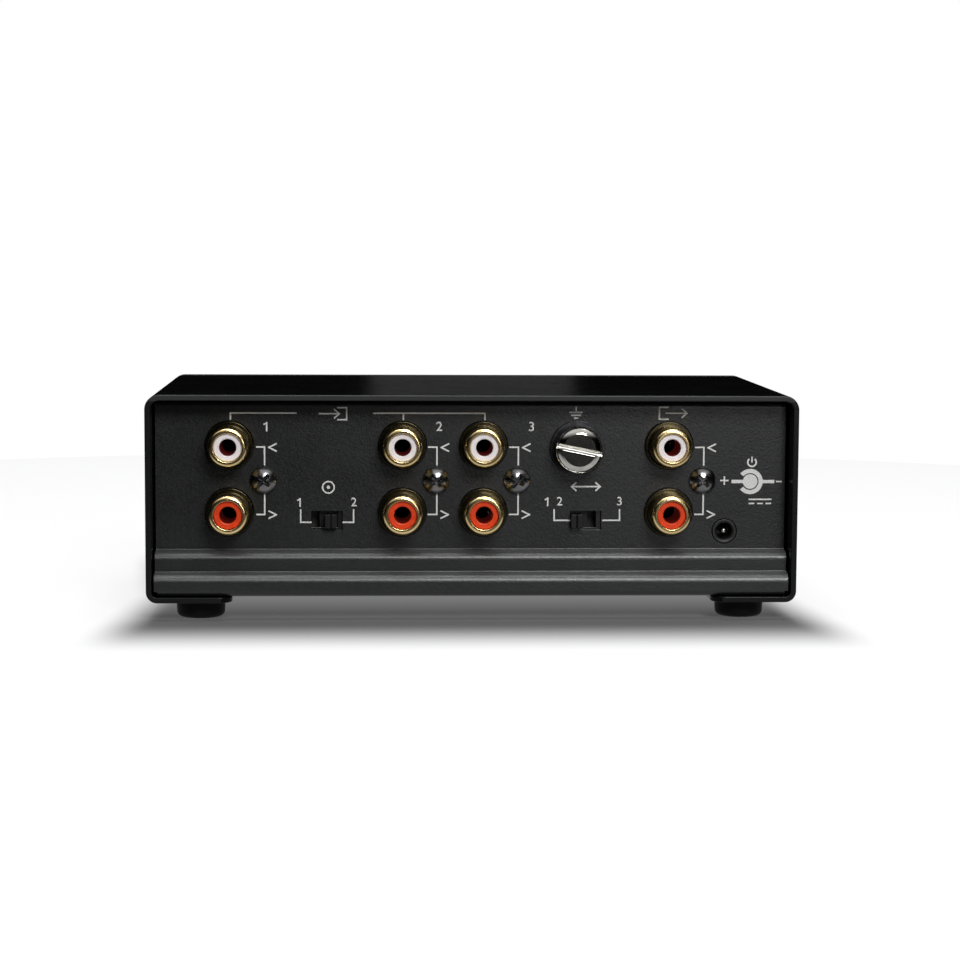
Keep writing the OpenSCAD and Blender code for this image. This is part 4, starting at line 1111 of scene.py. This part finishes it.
for switch in switches:
    buildKnob(f"{switch}_switch_knob", switch + "Knob")
for switch in switches:
    softenNode(f"{switch}_switch_frame", switch + "Frame", frameEdge, 50, paint=metal["shadedFrameSteel"])
softenNode("inlet_body", "inletBody", frameEdge, 40)
print("switches and inlet modelled")


# printed marks: drawn flat as seen from the rear, x to the right and y up, then stood on the rear panel

markShape = {
    "line": 0.31, "thick": 0.02, "bold": 0.035, "digit": 2.0, "smallDigit": 1.85, "fontScale": 1.38,
    "layers": 7, "layer": 0.003,
}


def addStrip(x, y, length, width, turn=0.0):
    bpy.ops.mesh.primitive_plane_add(size=1, location=(x, y, 0), rotation=(0, 0, turn))
    strip = bpy.context.object
    strip.scale = (length, width, 1)
    return applyPlace(strip)


def drawLine(*points):
    width = markShape["line"]
    return [addStrip((x0 + x1) / 2, (y0 + y1) / 2, math.hypot(x1 - x0, y1 - y0) + width, width,
                     math.atan2(y1 - y0, x1 - x0)) for (x0, y0), (x1, y1) in zip(points, points[1:])]


def drawRing(x, y, inner, outer, gap=0.0, facing=0.0):  # a band round a circle, with a gap that faces one way
    band = startPoint(inner, 0)
    extrudeTo(outer - inner, 0)
    spinAll(48, math.radians(360 - gap), (0, 0, 1))
    endEdit()
    band.rotation_euler = (0, 0, math.radians(facing - gap / 2))
    band.location = (x, y, 0)
    return [applyPlace(band)]


def drawDot(x, y, radius):
    bpy.ops.mesh.primitive_circle_add(vertices=32, radius=radius, fill_type="NGON", location=(x, y, 0))
    return [applyPlace(bpy.context.object)]


def drawDigit(digit, x, y, size):
    if digit == 1:
        half = (size - markShape["line"]) / 2
        return drawLine((x - size / 4, y + half * 0.62), (x, y + half), (x, y - half))
    bpy.ops.object.text_add(location=(0, 0, 0))
    text = bpy.context.object
    text.data.body = str(digit)
    text.data.size = size * markShape["fontScale"]  # a digit is about 0.72 of the font's size
    text.data.align_x = "CENTER"
    text.data.align_y = "CENTER"
    text.data.offset = markShape["bold"]
    bpy.ops.object.convert(target="MESH")
    text = bpy.context.object
    return [moveTo(text, x, y, 0)]


def drawHead(tip, y, way, length, half):  # a chevron that points left or right
    return drawLine((tip - way * length, y + half), (tip, y), (tip - way * length, y - half))


socketMarks = {
    "bracketTop": 42.72, "tickFoot": 41.4, "firstBracket": (-50.3, -36.74), "nextBracket": (-20.56, 2.64),
    "tick": -14.38,
    "inputSign": (-28.6, 42.6, -3.2, 0.9, 1), "outputSign": (41.6, 42.8, -1.0, 3.4, -1), "earthSign": (21.7, 42.85),
    "digits": ((-42.8, 1), (-6.9, 2), (12.4, 3)), "digitHeight": 39.85,
    "stubs": ((-44.86, -43.26), (-9.11, -7.36), (7.93, 9.67), (46.95, 48.66)),
    "rows": ((35.63, 31.95, 35.55, -1), (21.49, 25.7, 21.45, 1)),  # a stub's height and end, an arrow's height and way
    "arrowGap": 1.65, "arrowHalf": 0.75,
}


def drawSocketMarks():
    top, tickFoot, half = [socketMarks[key] for key in ("bracketTop", "tickFoot", "arrowHalf")]
    start, end = socketMarks["firstBracket"]
    marks = drawLine((start, tickFoot), (start, top), (end, top))
    start, end = socketMarks["nextBracket"]
    marks += drawLine((start, top), (end, top), (end, tickFoot))
    marks += drawLine((socketMarks["tick"], top), (socketMarks["tick"], tickFoot))
    marks += drawPortSign(*socketMarks["inputSign"])
    marks += drawPortSign(*socketMarks["outputSign"])
    marks += drawEarthSign(*socketMarks["earthSign"])
    for x, digit in socketMarks["digits"]:
        marks += drawDigit(digit, x, socketMarks["digitHeight"], markShape["digit"])
    for stub, corner in socketMarks["stubs"]:
        for height, end, _, _ in socketMarks["rows"]:
            marks += drawLine((stub, height), (corner, height), (corner, end))
        for _, _, height, way in socketMarks["rows"]:
            marks += drawHead(corner + socketMarks["arrowGap"] + way * half, height, way, 2 * half, half)
    return marks


cartridgeMarks = {
    "sign": (-30.0, 27.2), "digits": ((1, -35.9), (2, -24.7)), "digitHeight": 24.0,
    "hooks": (((-35.78, 22.43), (-35.78, 19.85), (-33.68, 19.85)), ((-24.75, 22.43), (-24.75, 19.84), (-26.92, 19.84))),
}
inputMarks = {
    "sign": (23.9, 27.35), "digits": ((1, 15.9), (2, 18.4), (3, 31.0)), "digitHeight": 24.15,
    "hooks": (((17.25, 22.42), (17.27, 20.24), (20.47, 20.24)), ((31.03, 22.42), (31.05, 20.24), (27.53, 20.24))),
}


def drawSwitchMarks(places, drawSign):
    marks = drawSign(*places["sign"])
    for digit, x in places["digits"]:
        marks += drawDigit(digit, x, places["digitHeight"], markShape["smallDigit"])
    for hook in places["hooks"]:
        marks += drawLine(*hook)
    return marks


def drawMarks():
    marks = drawSocketMarks()
    marks += drawSwitchMarks(cartridgeMarks, drawDiscSign) + drawSwitchMarks(inputMarks, drawSwapSign)
    marks += drawPowerMarks(*powerMarks["place"])
    for number, mark in enumerate(marks):  # lines that cross lie at slightly different heights
        moveTo(mark, 0, 0, number % markShape["layers"] * markShape["layer"])
    piece = joinPieces(marks)
    startEdit(piece)
    turnOutwards()
    endEdit()
    useModifier(piece, "SOLIDIFY", thickness=markShape["thick"], offset=0)
    piece.rotation_euler = (math.radians(90), 0, math.radians(180))
    settle(moveTo(piece, 0, panelFace, 0), "printedMarks", paint=makeInk("ink"), body="case", slot="white_plastic")


def drawPortSign(x, y, tail, tip, way):  # an arrow that runs into or out of a bracket
    near, far = x + way * 0.6, x + way * 2.4
    sign = drawLine((x + tail, y), (x + tip, y)) + drawHead(x + tip, y, 1, 1.0, 0.85)
    return sign + drawLine((near, y + 1.25), (far, y + 1.25), (far, y - 1.25), (near, y - 1.25))


def drawEarthSign(x, y):
    sign = drawLine((x, y + 1.2), (x, y + 0.1))
    for level, half in ((0.1, 1.3), (-0.5, 0.8), (-1.1, 0.32)):
        sign += drawLine((x - half, y + level), (x + half, y + level))
    return sign


def drawDiscSign(x, y):  # a record, seen from above
    return drawRing(x, y, 1.05, 1.05 + markShape["line"]) + drawDot(x, y, 0.36)


def drawSwapSign(x, y):  # a line with an arrow head at either end
    sign = drawLine((x - 3.0, y), (x + 3.0, y))
    for way in (-1, 1):
        sign += drawHead(x + way * 3.0, y, way, 0.9, 0.8)
    return sign


powerMarks = {
    "place": (58.53, 28.44), "ring": (1.78, 2.67), "gap": 76, "pin": 1.55,
    "bars": ((-3.94, -1.4), (2.4, 5.1)), "barWidth": 0.72, "plus": (-5.46, 0.21, 0.75), "minus": (6.08, 0.45),
    "dashLine": (-0.1, 4.4, 24.67), "dashes": (-0.1, 1.7, 3.5), "dash": 0.9, "dashHeight": 23.8,
    "button": (0.33, 32.5), "buttonRing": (0.72, 1.06), "buttonGap": 80, "buttonBar": (33.5, 32.6),
}


def drawPowerMarks(x, y):
    signs = drawRing(x, y, *powerMarks["ring"], powerMarks["gap"], 180) + drawDot(x, y, powerMarks["pin"])
    for start, end in powerMarks["bars"]:
        signs.append(addStrip(x + (start + end) / 2, y, end - start, powerMarks["barWidth"]))
    plus, rise, half = powerMarks["plus"]
    signs += drawLine((x + plus - half, y + rise), (x + plus + half, y + rise))
    signs += drawLine((x + plus, y + rise + half), (x + plus, y + rise - half))
    minus, half = powerMarks["minus"]
    signs += drawLine((x + minus - half, y), (x + minus + half, y))
    start, end, height = powerMarks["dashLine"]
    signs += drawLine((x + start, height), (x + end, height))
    height = powerMarks["dashHeight"]
    for start in powerMarks["dashes"]:
        signs += drawLine((x + start, height), (x + start + powerMarks["dash"], height))
    beside, height = powerMarks["button"]
    signs += drawRing(x + beside, height, *powerMarks["buttonRing"], powerMarks["buttonGap"], 90)
    top, foot = powerMarks["buttonBar"]
    return signs + drawLine((x + beside, top), (x + beside, foot))


drawMarks()
print("marks drawn")
